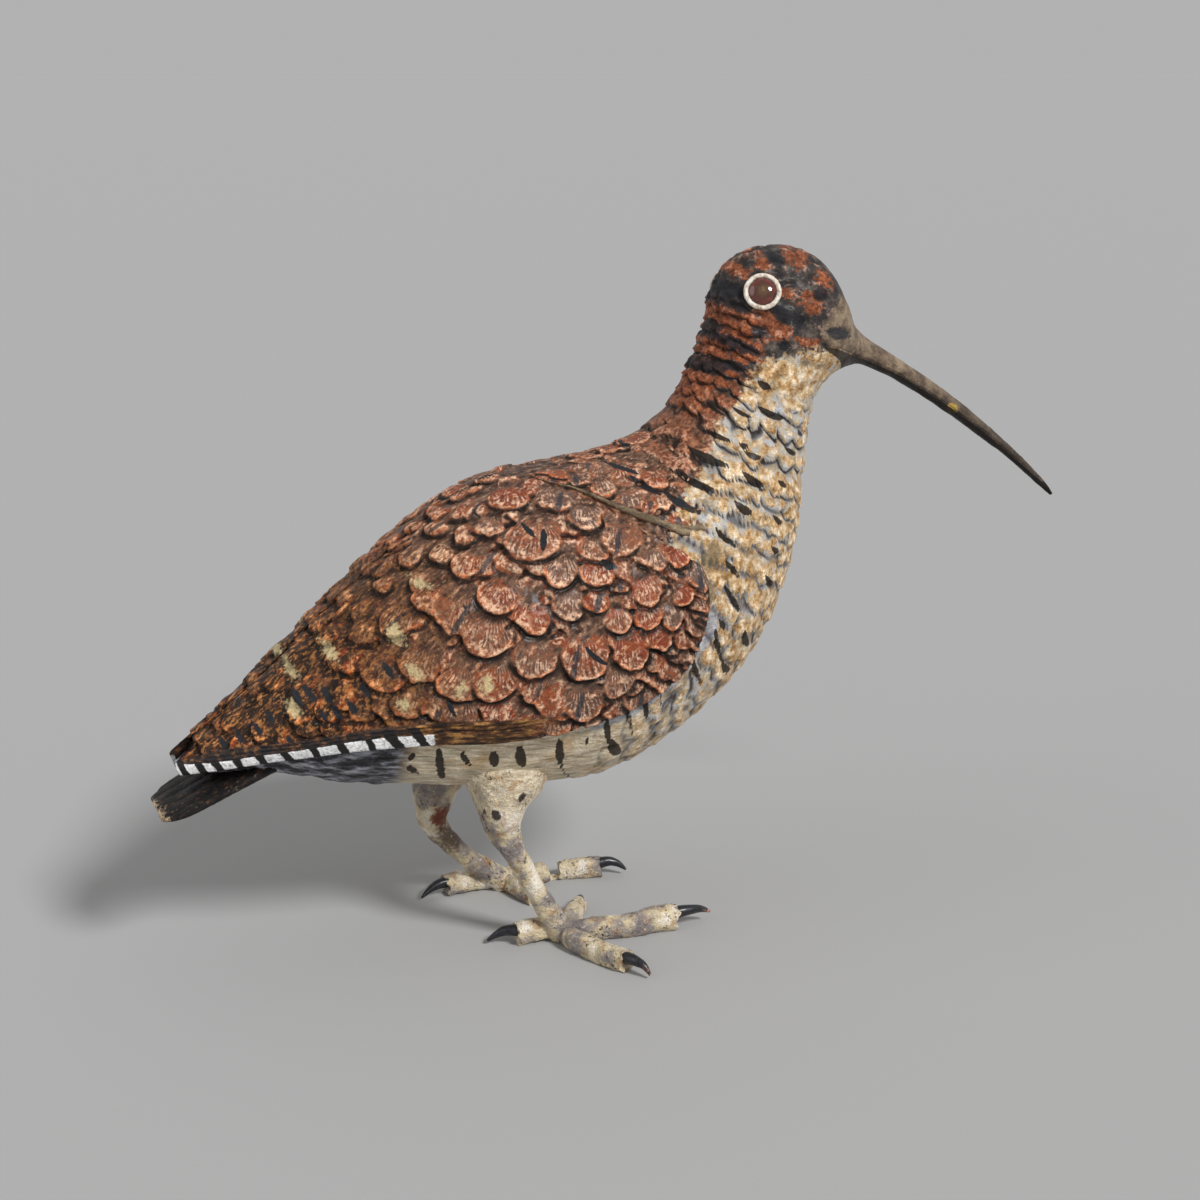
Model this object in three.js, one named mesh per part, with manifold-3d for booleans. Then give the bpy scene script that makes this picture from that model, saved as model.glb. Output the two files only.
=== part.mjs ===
// A shorebird decoy, standing on its own feet: long down-curved bill, upright neck, folded wings.
// The bird is carved as one solid and painted; two glass eyes are set in sockets in its head.
// Millimetres, +X towards the bill, +Y to the bird's left, +Z up.

import * as THREE from 'three';
import { mergeVertices } from 'three/addons/utils/BufferGeometryUtils.js';
import Module from 'manifold-3d';

// Driving dimensions, in millimetres.
const birdLength = 355;
const eyeDiameter = 9.7;
const eyeBulge = 2.4;
const eyeSeat = 3.4;
const eyeGap = 0.3;
const eyeRingWidth = 2.1;
const eyeRingHeight = 0.9;

// Outlines and pose are drawn for a bird 355 long, and scale with its length.
const drawnLength = 355;
const scale = birdLength / drawnLength;

const wasm = await Module();
wasm.setup();

// A closed geometry as a solid that can be joined and cut.
function toSolid(geometry) {
  const bare = geometry.clone();
  bare.deleteAttribute('normal');
  bare.deleteAttribute('uv');
  const merged = mergeVertices(bare, 1e-4);
  const vertProperties = new Float32Array(merged.attributes.position.array);
  const triVerts = new Uint32Array(merged.index.array);
  return new wasm.Manifold(new wasm.Mesh({ numProp: 3, vertProperties, triVerts }));
}

function toGeometry(solid) {
  const mesh = solid.getMesh();
  const geometry = new THREE.BufferGeometry();
  geometry.setAttribute('position', new THREE.BufferAttribute(mesh.vertProperties, 3));
  geometry.setIndex(new THREE.BufferAttribute(mesh.triVerts, 1));
  geometry.computeVertexNormals();
  return geometry;
}

// Joins rings of points into a closed skin. Each ring turns clockwise, seen along the run of rings.
// A point in the middle of each end ring closes it.
function skin(rings) {
  const sides = rings[0].length;
  const points = rings.flat();
  const faces = [];
  const corner = (r, s) => r * sides + (s % sides);
  for (let r = 0; r + 1 < rings.length; r += 1) {
    for (let s = 0; s < sides; s += 1) {
      faces.push(corner(r, s), corner(r + 1, s), corner(r + 1, s + 1));
      faces.push(corner(r, s), corner(r + 1, s + 1), corner(r, s + 1));
    }
  }
  const close = (r, first, second) => {
    const middle = rings[r].reduce((sum, p) => sum.add(p), new THREE.Vector3()).divideScalar(sides);
    points.push(middle);
    const centre = points.length - 1;
    for (let s = 0; s < sides; s += 1) faces.push(centre, corner(r, s + first), corner(r, s + second));
  };
  close(0, 0, 1);
  close(rings.length - 1, 1, 0);
  const geometry = new THREE.BufferGeometry();
  geometry.setAttribute('position', new THREE.Float32BufferAttribute(points.flatMap((p) => p.toArray()), 3));
  geometry.setIndex(faces);
  geometry.scale(scale, scale, scale);
  return geometry;
}

// A row of a list at a fractional row number, on a smooth curve through the rows.
function smooth(rows, at) {
  const last = rows.length - 1;
  const i = Math.min(Math.max(Math.floor(at), 0), last - 1);
  const f = Math.min(Math.max(at - i, 0), 1);
  const row = (k) => rows[Math.min(Math.max(k, 0), last)];
  return rows[0].map((_, c) => {
    const [p, q, r, s] = [row(i - 1)[c], row(i)[c], row(i + 1)[c], row(i + 2)[c]];
    return q + 0.5 * f * (r - p + f * (2 * p - 5 * q + 4 * r - s + f * (3 * (q - r) + s - p)));
  });
}

// Part way from a to b, and how far v has come on the way between two values.
const mix = (a, b, f) => a + (b - a) * f;
const clamp = (v, low, high) => Math.min(Math.max(v, low), high);
const ramp = (v, from, to) => clamp((v - from) / (to - from), 0, 1);

// How far a row of round feather tips reaches: 0 between two feathers, 1 at the middle of one.
const lobe = (f) => Math.sqrt(Math.max(0, 1 - (2 * (f - Math.floor(f)) - 1) ** 2));

// Body, neck, head and bill are one form. Each row is a slice across it, from the tail end to the
// bill tip: back x, back z, front x, front z, half width, fullness (2 is an ellipse, more is boxier).
const slices = [
  [-137, 77, -136, 74, 4, 2],
  [-127, 85, -125, 73, 12, 2],
  [-114, 95, -110, 73, 20, 2],
  [-99, 109, -95, 70, 29, 2],
  [-80, 126, -78, 66, 37, 2],
  [-59, 145, -58, 62.5, 43, 2],
  [-35, 163, -35, 59, 47.5, 2],
  [-13, 171.5, -10, 57, 50, 2],
  [7, 173.5, 16, 59, 50, 2],
  [23, 176.5, 42, 71, 47.5, 2],
  [35, 180.5, 66.5, 90, 43, 2],
  [44.5, 187, 83, 113.5, 37, 2],
  [51, 195, 92.5, 139, 31, 2],
  [55.5, 205, 95, 158, 26.5, 2],
  [59, 213, 96.5, 172, 24.5, 2.1],
  [62, 222, 98, 184, 23, 2.1],
  [63, 231, 101, 192, 22, 2.1],
  [67.5, 240.5, 104, 196, 21.5, 2.1],
  [78, 246.5, 107, 199, 21, 2.1],
  [91, 247.7, 110, 201, 20, 2.1],
  [102, 243, 113, 202, 17.5, 2.1],
  [109.3, 233.5, 115.5, 202.5, 13.5, 2.1],
  [114.5, 223, 118, 203, 10.2, 2],
  [119.5, 216.5, 120, 203, 7.4, 2],
  [126.5, 211.3, 124.5, 202, 5.2, 2],
  [140, 203, 137, 196.3, 4.1, 2],
  [157, 192, 153.3, 186.8, 3.5, 2],
  [174, 179.4, 170.8, 175.2, 3, 2],
  [190, 166.2, 187.6, 163.3, 2.4, 2],
  [203, 154.3, 201.3, 152.3, 1.7, 2],
  [208.7, 147.6, 208, 146.9, 0.6, 2],
];
const neckEnd = 14;
const billStart = 23;

// A point of the body: at is the slice number, turn runs round it from the back over the bird's
// left side, and lift is the distance out from the surface.
function bodyPoint(at, turn, lift = 0) {
  const [backX, backZ, frontX, frontZ, half, fullness] = smooth(slices, at);
  const tall = Math.hypot(backX - frontX, backZ - frontZ) / 2;
  const bend = (v, power) => Math.sign(v) * Math.abs(v) ** power;
  const rise = bend(Math.cos(turn), 2 / fullness);
  const out = bend(Math.sin(turn), 2 / fullness);
  const slope = [bend(rise, fullness - 1) / tall, bend(out, fullness - 1) / half];
  const steep = lift / Math.hypot(...slope);
  const along = (1 + rise + (steep * slope[0]) / tall) / 2;
  const sideways = half * out + steep * slope[1];
  return new THREE.Vector3(mix(frontX, backX, along), sideways, mix(frontZ, backZ, along));
}

// Slice number and turn of the body's point that a side view shows at x, z, between two slices.
function findOnBody(x, z, side, from, to) {
  let [low, high] = [from, to];
  let slice;
  for (let n = 0; n < 24; n += 1) {
    slice = smooth(slices, (low + high) / 2);
    const cross = (slice[0] - slice[2]) * (z - slice[3]) - (slice[1] - slice[3]) * (x - slice[2]);
    if (cross < 0) low = (low + high) / 2;
    else high = (low + high) / 2;
  }
  const [backX, backZ, frontX, frontZ, , fullness] = slice;
  const length2 = (backX - frontX) ** 2 + (backZ - frontZ) ** 2;
  const along = ((x - frontX) * (backX - frontX) + (z - frontZ) * (backZ - frontZ)) / length2;
  const rise = clamp(2 * along - 1, -1, 1);
  return [(low + high) / 2, side * Math.acos(Math.sign(rise) * Math.abs(rise) ** (fullness / 2))];
}

// Rings of points along the body, counted in slices, and points round each ring.
const bodySpacing = 0.95;
const headSpacing = 0.9;
const billSpacing = 1.2;
const bodySides = 28;

// Rows of round feathers run round the neck and breast, each with its tips standing out.
const neckRows = { first: 9.4, last: 17, count: 11, lift: 1.1, reach: 0.3, undercut: 0.06, feathers: 9 };
// Each row of feathers is half a feather along from the one before it.
const stagger = 0.5;

function bodyRings() {
  const rings = [];
  const ring = (place) => {
    const points = [];
    for (let s = 0; s < bodySides; s += 1) {
      points.push(place((2 * Math.PI * s) / bodySides, s / bodySides));
    }
    rings.push(points);
  };
  const plain = (at) => ring((turn) => bodyPoint(at, turn));
  for (let at = 0; at < neckRows.first - 0.5; at += bodySpacing) plain(at);
  const step = (neckRows.last - neckRows.first) / neckRows.count;
  for (let k = 0; k < neckRows.count; k += 1) {
    const at = neckRows.first + k * step;
    const tip = (f) => lobe(f * neckRows.feathers + stagger * (k % 2)) * neckRows.reach * step;
    ring((turn, f) => bodyPoint(at - tip(f), turn));
    ring((turn, f) => bodyPoint(at - tip(f) + neckRows.undercut * step, turn, neckRows.lift));
  }
  for (let at = neckRows.last; at < billStart; at += headSpacing) plain(at);
  for (let at = billStart; at < slices.length - 1; at += billSpacing) plain(at);
  plain(slices.length - 1);
  return rings;
}

// How soon a patch that fades out at an end reaches nothing, past that end.
const fadeFloor = 0.05;

// A patch of carved feathers on the body, drawn from the side as two edges of x, z points. Feathers
// run down from the upper edge to the lower one. The patch is as thick as its lift, and its inner
// side lies inside the body.
function patchPoint(patch, down, along, side, lift) {
  const [upperX, upperZ] = smooth(patch.upper, along * (patch.upper.length - 1));
  const [lowerX, lowerZ] = smooth(patch.lower, along * (patch.lower.length - 1));
  const bow = patch.bow * 4 * down * (1 - down) * (1 - ramp(along, 0, 0.3));
  const [at, turn] = findOnBody(mix(upperX, lowerX, down) + bow, mix(upperZ, lowerZ, down), side, 0, neckEnd);
  const fade = ramp(along, -fadeFloor, patch.fade) * ramp(1 - along, -fadeFloor, patch.tailFade);
  const point = bodyPoint(at, turn, lift * fade);
  point.y -= side * patch.crossing;
  return point;
}

function patchRings(patch, side) {
  const rings = [];
  const columns = patch.feathers * patch.perFeather;
  const rowStep = patch.featherEnd / patch.rows;
  for (let c = 0; c <= columns; c += 1) {
    const along = c / columns;
    const thick = (down) => patch.thick * mix(patch.rootShare, 1, ramp(down, 0, 0.3));
    const place = (down, lift) => patchPoint(patch, down, along, side, lift);
    const shoulder = 0.4 * rowStep;
    const points = [place(0, -patch.sunk), place(0, thick(0)), place(shoulder, thick(shoulder))];
    for (let r = 0; r < patch.rows; r += 1) {
      const tip = lobe(along * patch.feathers + stagger * (r % 2));
      const end = rowStep * (r + 1 - patch.reach * (1 - tip));
      points.push(place(end, thick(end) + patch.lift * mix(0.4, 1, tip)));
      if (rowStep * (r + 1) < 1) points.push(place(end + patch.step, thick(end)));
    }
    for (const down of patch.strips) points.push(place(down, patch.thick + patch.stripLift));
    points.push(place(1, -patch.sunk));
    rings.push(side < 0 ? points : points.reverse());
  }
  return rings;
}

// The folded wing: six rows of feathers, then the long quills with a plain band along their edge.
const wing = {
  upper: [
    [41, 142], [33, 148], [23, 154], [13, 160.5], [2, 166.5],
    [-11, 170], [-24, 169], [-36, 164.5], [-49, 157], [-60, 149],
  ],
  lower: [
    [40, 119], [31, 106], [14, 97], [-8, 90.5], [-33, 87.5],
    [-57, 88], [-80, 87], [-102, 84], [-122, 80], [-138, 76],
  ],
  bow: 2,
  fade: 0.06,
  tailFade: 0,
  crossing: -0.8,
  rows: 6,
  feathers: 9,
  perFeather: 4,
  featherEnd: 0.84,
  reach: 0.4,
  step: 0.01,
  thick: 2.6,
  rootShare: 0.2,
  lift: 2,
  sunk: 3,
  strips: [0.93, 1],
  stripLift: 0.8,
};

// The mantle lies over the upper edge of both wings, between them, and fades into the neck.
const mantle = {
  upper: [[40, 183], [30, 179], [20, 176], [10, 174], [0, 172.5], [-10, 171.5]],
  lower: [[46, 148], [36, 147], [25, 153], [14, 160], [2, 166.5], [-8, 170]],
  bow: 0,
  fade: 0.3,
  tailFade: 0.3,
  crossing: 0.4,
  rows: 2,
  feathers: 5,
  perFeather: 4,
  featherEnd: 1,
  reach: 0.25,
  step: 0.02,
  thick: 1.2,
  rootShare: 0.6,
  lift: 1.3,
  sunk: 3,
  strips: [],
  stripLift: 0,
};

// A round limb along a path of rows: x, y, z, half width across, half height. side is the
// direction that its width is measured in.
function limb(rows, side, sides = 9) {
  const rings = [];
  for (let at = 0; at < rows.length; at += 1) {
    const [x, y, z, across, tall] = rows[at];
    const before = smooth(rows, Math.max(at - 0.05, 0));
    const after = smooth(rows, Math.min(at + 0.05, rows.length - 1));
    const [from, to] = [before, after].map((row) => new THREE.Vector3(...row.slice(0, 3)));
    const run = to.sub(from).normalize();
    const up = new THREE.Vector3().crossVectors(side, run).normalize();
    const sideways = new THREE.Vector3().crossVectors(run, up);
    const ring = [];
    for (let s = 0; s < sides; s += 1) {
      const turn = (2 * Math.PI * s) / sides;
      ring.push(
        new THREE.Vector3(x, y, z)
          .addScaledVector(sideways, across * Math.sin(turn))
          .addScaledVector(up, -tall * Math.cos(turn)),
      );
    }
    rings.push(ring);
  }
  return toSolid(skin(rings));
}

const acrossBird = new THREE.Vector3(0, 1, 0);

// A toe or claw lies along the ground: its width is level and square to its run.
function toe(rows, sides = 7) {
  const last = rows.at(-1);
  const side = new THREE.Vector3(rows[0][1] - last[1], last[0] - rows[0][0], 0).normalize();
  return limb(rows, side, sides);
}

// The tail: a thin fan below the wing tips, crowned across, with a worn end.
const tail = limb(
  [
    [-90, 0, 83, 17, 7],
    [-106, 0, 77.5, 18.5, 4.5],
    [-121, 0, 71, 19.5, 2.8],
    [-133, 0, 65.5, 19, 2.2],
    [-140, 0, 62.5, 16.5, 2],
    [-144.5, 0, 60.7, 11, 1.6],
  ],
  acrossBird,
  12,
);

// Right leg: feathered thigh, bare shank, four toes with claws from their square ends.
const rightFoot = [
  limb(
    [
      [-24, -22, 84, 9, 10],
      [-24.5, -23, 74, 11.5, 12.5],
      [-25.5, -24, 64, 12, 12.5],
      [-27, -25, 55.5, 9.6, 9],
      [-26.5, -25, 48, 6.6, 6.6],
      [-23, -25, 39, 4.4, 4.5],
      [-17, -25, 27, 3.7, 3.7],
      [-11, -24.5, 15.5, 4, 4],
      [-7, -23.5, 8.5, 4.6, 4.6],
      [-4, -23, 3, 5, 4.8],
      [-3, -23, -1, 5, 4.8],
    ],
    acrossBird,
  ),
  toe(
    [
      [-2, -23, 3.5, 2, 3],
      [7, -25.5, 3.8, 3.5, 4.2],
      [20, -28, 4, 3.8, 4.3],
      [31, -27, 4.5, 4.3, 4.8],
      [39.6, -28, 4.5, 4.3, 4.8],
    ],
  ),
  toe(
    [
      [-4.2, -24, 3.3, 2, 3],
      [-2, -33, 3.7, 3.8, 4],
      [3, -45, 3.6, 3.7, 4],
      [9.3, -56, 3.7, 3.8, 4.1],
    ],
  ),
  toe(
    [
      [-4, -22, 3.3, 2, 3],
      [3, -13, 3.6, 3.4, 4],
      [10, -3, 3.2, 2.8, 3.6],
    ],
  ),
  toe(
    [
      [-4, -22.7, 4, 2, 3],
      [-12, -20.5, 4.6, 4, 4.2],
      [-21, -21, 3.7, 3.8, 4.2],
    ],
  ),
];
const rightClaws = [
  toe(
    [
      [38, -28, 6.2, 2.4, 2.6],
      [43.5, -28.4, 6.8, 2, 2],
      [49, -27.7, 6.2, 1.4, 1.4],
      [53.2, -27.4, 4.5, 0.5, 0.5],
    ],
    5,
  ),
  toe(
    [
      [8.5, -54.5, 5, 2.3, 2.4],
      [10.8, -59.5, 5.4, 1.9, 2],
      [13, -62.8, 4.4, 1.3, 1.3],
      [14.6, -65.4, 1.6, 0.5, 0.5],
    ],
    5,
  ),
  toe(
    [
      [9.3, -4, 3.6, 2.3, 2.5],
      [12, 2, 3.6, 1.5, 1.6],
      [14, 7, 2.2, 0.5, 0.5],
    ],
    5,
  ),
  toe(
    [
      [-20, -21, 5.5, 2.3, 2.3],
      [-24.5, -19, 5, 1.9, 1.9],
      [-28, -18.2, 3.4, 1.2, 1.2],
      [-31, -18, 1.6, 0.4, 0.5],
    ],
    5,
  ),
];

// Left leg, bent lower. Its middle toe is broken through: a strip along the sole still joins the end.
const leftFoot = [
  limb(
    [
      [-29, 22, 82, 9, 10],
      [-32, 23, 71, 12, 12.5],
      [-34, 24, 61, 12.5, 12.5],
      [-37, 24.3, 51.5, 10.6, 10.2],
      [-38.8, 24.6, 42, 7.4, 7.4],
      [-38.8, 25, 33.5, 5.2, 5.2],
      [-33, 26, 24.5, 4, 4],
      [-25, 27.5, 16, 3.7, 3.7],
      [-17, 29.3, 9, 4.4, 4.3],
      [-11, 30, 4, 5, 4.8],
      [-8.5, 30, -1, 5, 4.8],
    ],
    acrossBird,
  ),
  toe(
    [
      [-10, 30, 3.5, 2.4, 3.2],
      [-3.7, 29.5, 3.8, 3.8, 4.1],
      [8, 31, 3.6, 3.7, 4],
    ],
  ),
  toe(
    [
      [6, 30.8, 0.8, 0.8, 1.2],
      [15.5, 31.5, 0.8, 0.8, 1.2],
    ],
    6,
  ),
  toe(
    [
      [14, 31.6, 3.3, 3, 3.7],
      [22, 30.5, 3.7, 3.7, 4.1],
      [30, 28.8, 3.8, 3.8, 4.2],
    ],
  ),
  toe(
    [
      [-10, 29, 3.3, 2, 3],
      [-6, 19, 3.6, 3.5, 4],
      [-3, 10, 3.3, 3.2, 3.7],
    ],
  ),
  toe(
    [
      [-10, 30.5, 3, 2, 2.6],
      [-4, 36.5, 2.8, 3.3, 3.3],
      [0, 40, 2.2, 2.8, 2.7],
    ],
  ),
  toe(
    [
      [-11, 30.3, 4, 2.4, 3.2],
      [-22.5, 32.5, 4.3, 4, 4.3],
      [-33, 31.6, 3.8, 3.8, 4.2],
    ],
  ),
];
const leftClaws = [
  toe(
    [
      [29, 29, 5.2, 2.3, 2.4],
      [33.5, 28.3, 5.7, 1.9, 1.9],
      [37, 27, 4.6, 1.2, 1.3],
      [39.6, 25.6, 2.4, 0.5, 0.5],
    ],
    5,
  ),
  toe(
    [
      [-31.5, 31.7, 5.2, 2.3, 2.3],
      [-36, 31, 4.8, 1.9, 1.9],
      [-40, 29.8, 3.3, 1.2, 1.2],
      [-43.2, 28, 1.6, 0.4, 0.5],
    ],
    5,
  ),
];

// The eyes sit where a side view shows them, square to the head.
const eyePlace = [74.3, 233];

function eyeFrame(side) {
  const [at, turn] = findOnBody(eyePlace[0], eyePlace[1], side, neckEnd, billStart);
  const middle = bodyPoint(at, turn).multiplyScalar(scale);
  const alongHead = bodyPoint(at + 0.1, turn).sub(bodyPoint(at - 0.1, turn));
  const roundHead = bodyPoint(at, turn + 0.05).sub(bodyPoint(at, turn - 0.05));
  const out = new THREE.Vector3().crossVectors(roundHead, alongHead).normalize();
  if (out.y * side < 0) out.negate();
  return { middle, turnOut: new THREE.Quaternion().setFromUnitVectors(new THREE.Vector3(0, 1, 0), out) };
}

const eyeSides = 16;
const socketRadius = eyeDiameter / 2 + eyeGap;

function turned(profile) {
  return new THREE.LatheGeometry(profile.map(([r, h]) => new THREE.Vector2(r, h)), eyeSides);
}

// A glass eye: a round button with a domed front.
function eyeGeometry() {
  const profile = [[0, -eyeSeat], [eyeDiameter / 2, -eyeSeat]];
  const rings = 4;
  for (let n = 0; n <= rings; n += 1) {
    const bend = (n / rings) * (Math.PI / 2);
    profile.push([(eyeDiameter / 2) * Math.cos(bend), eyeBulge * Math.sin(bend)]);
  }
  return turned(profile);
}

function socket(frame) {
  const depth = eyeSeat + eyeGap;
  const geometry = turned([[0, -depth], [socketRadius, -depth], [socketRadius, depth], [0, depth]]);
  geometry.applyQuaternion(frame.turnOut).translate(...frame.middle);
  return toSolid(geometry);
}

function eyeRing(frame) {
  const [inner, outer] = [socketRadius - eyeGap, socketRadius + eyeRingWidth];
  const [crestIn, crestOut] = [mix(inner, outer, 0.3), mix(inner, outer, 0.65)];
  const profile = [[0, -eyeSeat / 2], [outer, -eyeSeat / 2], [outer, 0]];
  profile.push([crestOut, eyeRingHeight], [crestIn, eyeRingHeight], [inner, 0], [0, 0]);
  const geometry = turned(profile);
  geometry.applyQuaternion(frame.turnOut).translate(...frame.middle);
  return toSolid(geometry);
}

const eyes = { right_eye: eyeFrame(-1), left_eye: eyeFrame(1) };

// Everything below the soles is cut away, so the bird stands on flat ground.
const ground = new THREE.BoxGeometry(2 * birdLength, 2 * birdLength, birdLength);
ground.translate(0, 0, -birdLength / 2);

let figure = toSolid(skin(bodyRings()));
for (const side of [-1, 1]) {
  figure = figure.add(toSolid(skin(patchRings(wing, side))));
  figure = figure.add(toSolid(skin(patchRings(mantle, side))));
}
for (const piece of [tail, ...rightFoot, ...rightClaws, ...leftFoot, ...leftClaws]) {
  figure = figure.add(piece);
}
for (const frame of Object.values(eyes)) figure = figure.add(eyeRing(frame)).subtract(socket(frame));
figure = figure.subtract(toSolid(ground));

const paintedWood = new THREE.MeshStandardMaterial({ color: 0x8a5a3c, roughness: 0.65, metalness: 0 });
const brownGlass = new THREE.MeshStandardMaterial({ color: 0x3c1e12, roughness: 0.12, metalness: 0 });

const bird = new THREE.Group();
const figureMesh = new THREE.Mesh(toGeometry(figure), paintedWood);
figureMesh.name = 'figure';
bird.add(figureMesh);
for (const [name, frame] of Object.entries(eyes)) {
  const eye = new THREE.Mesh(eyeGeometry(), brownGlass);
  eye.name = name;
  eye.position.copy(frame.middle);
  eye.quaternion.copy(frame.turnOut);
  bird.add(eye);
}

// The origin is on the ground, below the middle of the bird.
const box = new THREE.Box3().setFromObject(bird, true);
bird.position.set(-(box.min.x + box.max.x) / 2, -(box.min.y + box.max.y) / 2, -box.min.z);
const group = new THREE.Group();
group.add(bird);

export default group;
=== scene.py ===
"""The looks of a shorebird decoy: a carved and painted bird on its own feet, with glass eyes.

Forms are worked out in millimetres as the bird was drawn (x to the bill, y to its left, z up, feet on
z = 0) and moved into the part's frame, in metres, as each mesh is made.
"""
from itertools import product

import bpy
import numpy as np
from mathutils import Matrix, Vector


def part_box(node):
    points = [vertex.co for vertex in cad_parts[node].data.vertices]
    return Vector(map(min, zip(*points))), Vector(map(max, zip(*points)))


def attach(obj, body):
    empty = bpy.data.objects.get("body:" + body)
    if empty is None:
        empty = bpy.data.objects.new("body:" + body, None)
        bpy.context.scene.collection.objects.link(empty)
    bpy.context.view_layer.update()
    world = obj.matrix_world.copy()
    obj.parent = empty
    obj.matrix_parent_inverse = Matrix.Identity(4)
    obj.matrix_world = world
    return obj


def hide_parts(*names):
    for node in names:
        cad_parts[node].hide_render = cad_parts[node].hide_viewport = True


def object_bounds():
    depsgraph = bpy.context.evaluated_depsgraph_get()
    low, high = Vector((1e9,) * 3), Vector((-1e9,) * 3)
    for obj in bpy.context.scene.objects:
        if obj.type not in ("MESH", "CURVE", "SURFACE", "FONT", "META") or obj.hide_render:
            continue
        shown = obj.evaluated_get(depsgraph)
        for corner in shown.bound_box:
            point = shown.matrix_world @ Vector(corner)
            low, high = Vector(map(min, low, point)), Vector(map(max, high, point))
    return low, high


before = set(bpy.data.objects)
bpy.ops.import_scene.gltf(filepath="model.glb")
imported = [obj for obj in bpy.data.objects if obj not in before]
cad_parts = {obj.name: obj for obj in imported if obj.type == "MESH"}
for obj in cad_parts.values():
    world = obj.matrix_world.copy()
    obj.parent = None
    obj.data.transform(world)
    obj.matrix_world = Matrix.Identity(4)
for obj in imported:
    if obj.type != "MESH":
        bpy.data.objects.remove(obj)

solid_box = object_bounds()
MM = 0.001

# the carved form

# Slices across body, neck, head and bill: back x, back z, front x, front z, half width, fullness.
SLICES = np.array([
    [-137, 77, -136, 74, 4, 2], [-127, 85, -125, 73, 12, 2], [-114, 95, -110, 73, 20, 2],
    [-99, 109, -95, 70, 29, 2], [-80, 126, -78, 66, 37, 2], [-59, 145, -58, 62.5, 43, 2],
    [-35, 163, -35, 59, 47.5, 2], [-13, 171.5, -10, 57, 50, 2], [7, 173.5, 16, 59, 50, 2],
    [23, 176.5, 42, 71, 47.5, 2], [35, 180.5, 66.5, 90, 43, 2], [44.5, 187, 83, 113.5, 37, 2],
    [51, 195, 92.5, 139, 31, 2], [55.5, 205, 95, 158, 26.5, 2], [59, 213, 96.5, 172, 24.5, 2.1],
    [62, 222, 98, 184, 23, 2.1], [63, 231, 101, 192, 22, 2.1], [67.5, 240.5, 104, 196, 21.5, 2.1],
    [78, 246.5, 107, 199, 21, 2.1], [91, 247.7, 110, 201, 20, 2.1], [102, 243, 113, 202, 17.5, 2.1],
    [109.3, 233.5, 115.5, 202.5, 13.5, 2.1], [114.5, 223, 118, 203, 10.2, 2],
    [119.5, 216.5, 120, 203, 7.4, 2], [126.5, 211.3, 124.5, 202, 5.2, 2],
    [140, 203, 137, 196.3, 4.1, 2], [157, 192, 153.3, 186.8, 3.5, 2], [174, 179.4, 170.8, 175.2, 3, 2],
    [190, 166.2, 187.6, 163.3, 2.4, 2], [203, 154.3, 201.3, 152.3, 1.7, 2],
    [208.7, 147.6, 208, 146.9, 0.6, 2],
])
# Slice numbers where the neck ends, where the head ends, and from where the bill turns smooth.
NECK_END = 14
HEAD_END = 23
BILL_START = 22.2
EYE_PLACE = (74.3, 233)
EYE_RADIUS = 4.85

# Patches laid over the body's side. upper and lower are edges of x, z from front to tail, in a side
# view. bow pushes the front forward, fade and tail_fade are the shares of the length over which the
# ends sink in, crossing is how far it is shifted towards the bird's other side, thick is how far it
# stands off the body, root_share how much of that its upper edge has, and sunk how deep its rim goes.
WING = dict(
    upper=[[41, 142], [33, 148], [23, 154], [13, 160.5], [2, 166.5],
           [-11, 170], [-24, 169], [-36, 164.5], [-49, 157], [-60, 149]],
    lower=[[40, 119], [31, 106], [14, 97], [-8, 91], [-33, 88.5],
           [-57, 89.5], [-80, 88.4], [-102, 84.6], [-122, 79.6], [-138, 75]],
    bow=2, fade=0.06, tail_fade=0, crossing=-0.8, thick=2.6, root_share=0.2, sunk=3)
MANTLE = dict(
    upper=[[40, 183], [30, 179], [20, 176], [10, 174], [0, 172.5], [-10, 171.5]],
    lower=[[47, 153], [36.5, 152.5], [26, 156.5], [14, 161.5], [2, 167.2], [-8, 170.3]],
    bow=0, fade=0.3, tail_fade=0.3, crossing=0.4, thick=1.2, root_share=0.6, sunk=3)

# Lines across neck and breast that the rows of small feathers follow: back x, z and front x, z.
FEATHER_ROWS = np.array([
    [-40, 110, -34, 56], [-28, 110, -20, 56], [-16, 110, -6, 56], [-5, 112, 8, 56], [6, 116, 22, 59],
    [14, 120, 36, 66], [20, 125, 49, 76], [24, 132, 60, 89], [26, 140, 70, 101], [25, 150, 78, 114],
    [20, 163, 84, 127], [28, 168, 87, 139], [36, 174, 89, 151], [43, 180, 92, 163], [49, 187, 95, 175],
    [54, 194, 97, 186], [56, 201, 99, 193], [57.5, 207, 100, 200], [58.5, 213, 101, 207],
    [60, 219, 100, 214], [61, 225, 99, 221], [62, 231, 99, 228], [64, 237, 99, 235],
])


def mix(a, b, f):
    """a at 0, b at 1, straight between."""
    return a + (b - a) * f


def ramp(v, low, high):
    """0 up to low, 1 from high, straight between."""
    return np.clip((v - low) / (high - low), 0, 1)


def ease(v, low, high):
    """As ramp, but level at both ends: 3f^2 - 2f^3."""
    f = ramp(v, low, high)
    return f * f * (3 - 2 * f)


def bump(v, width):
    """A bell: 1 at 0, falling as exp(-(v / width)^2)."""
    return np.exp(-(v / width) ** 2)


def bent(v, power):
    """v raised to a power, keeping its sign."""
    return np.sign(v) * np.abs(v) ** power


def unit(v):
    """v shortened or stretched to length 1."""
    return v / np.linalg.norm(v, axis=-1, keepdims=True)


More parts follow.
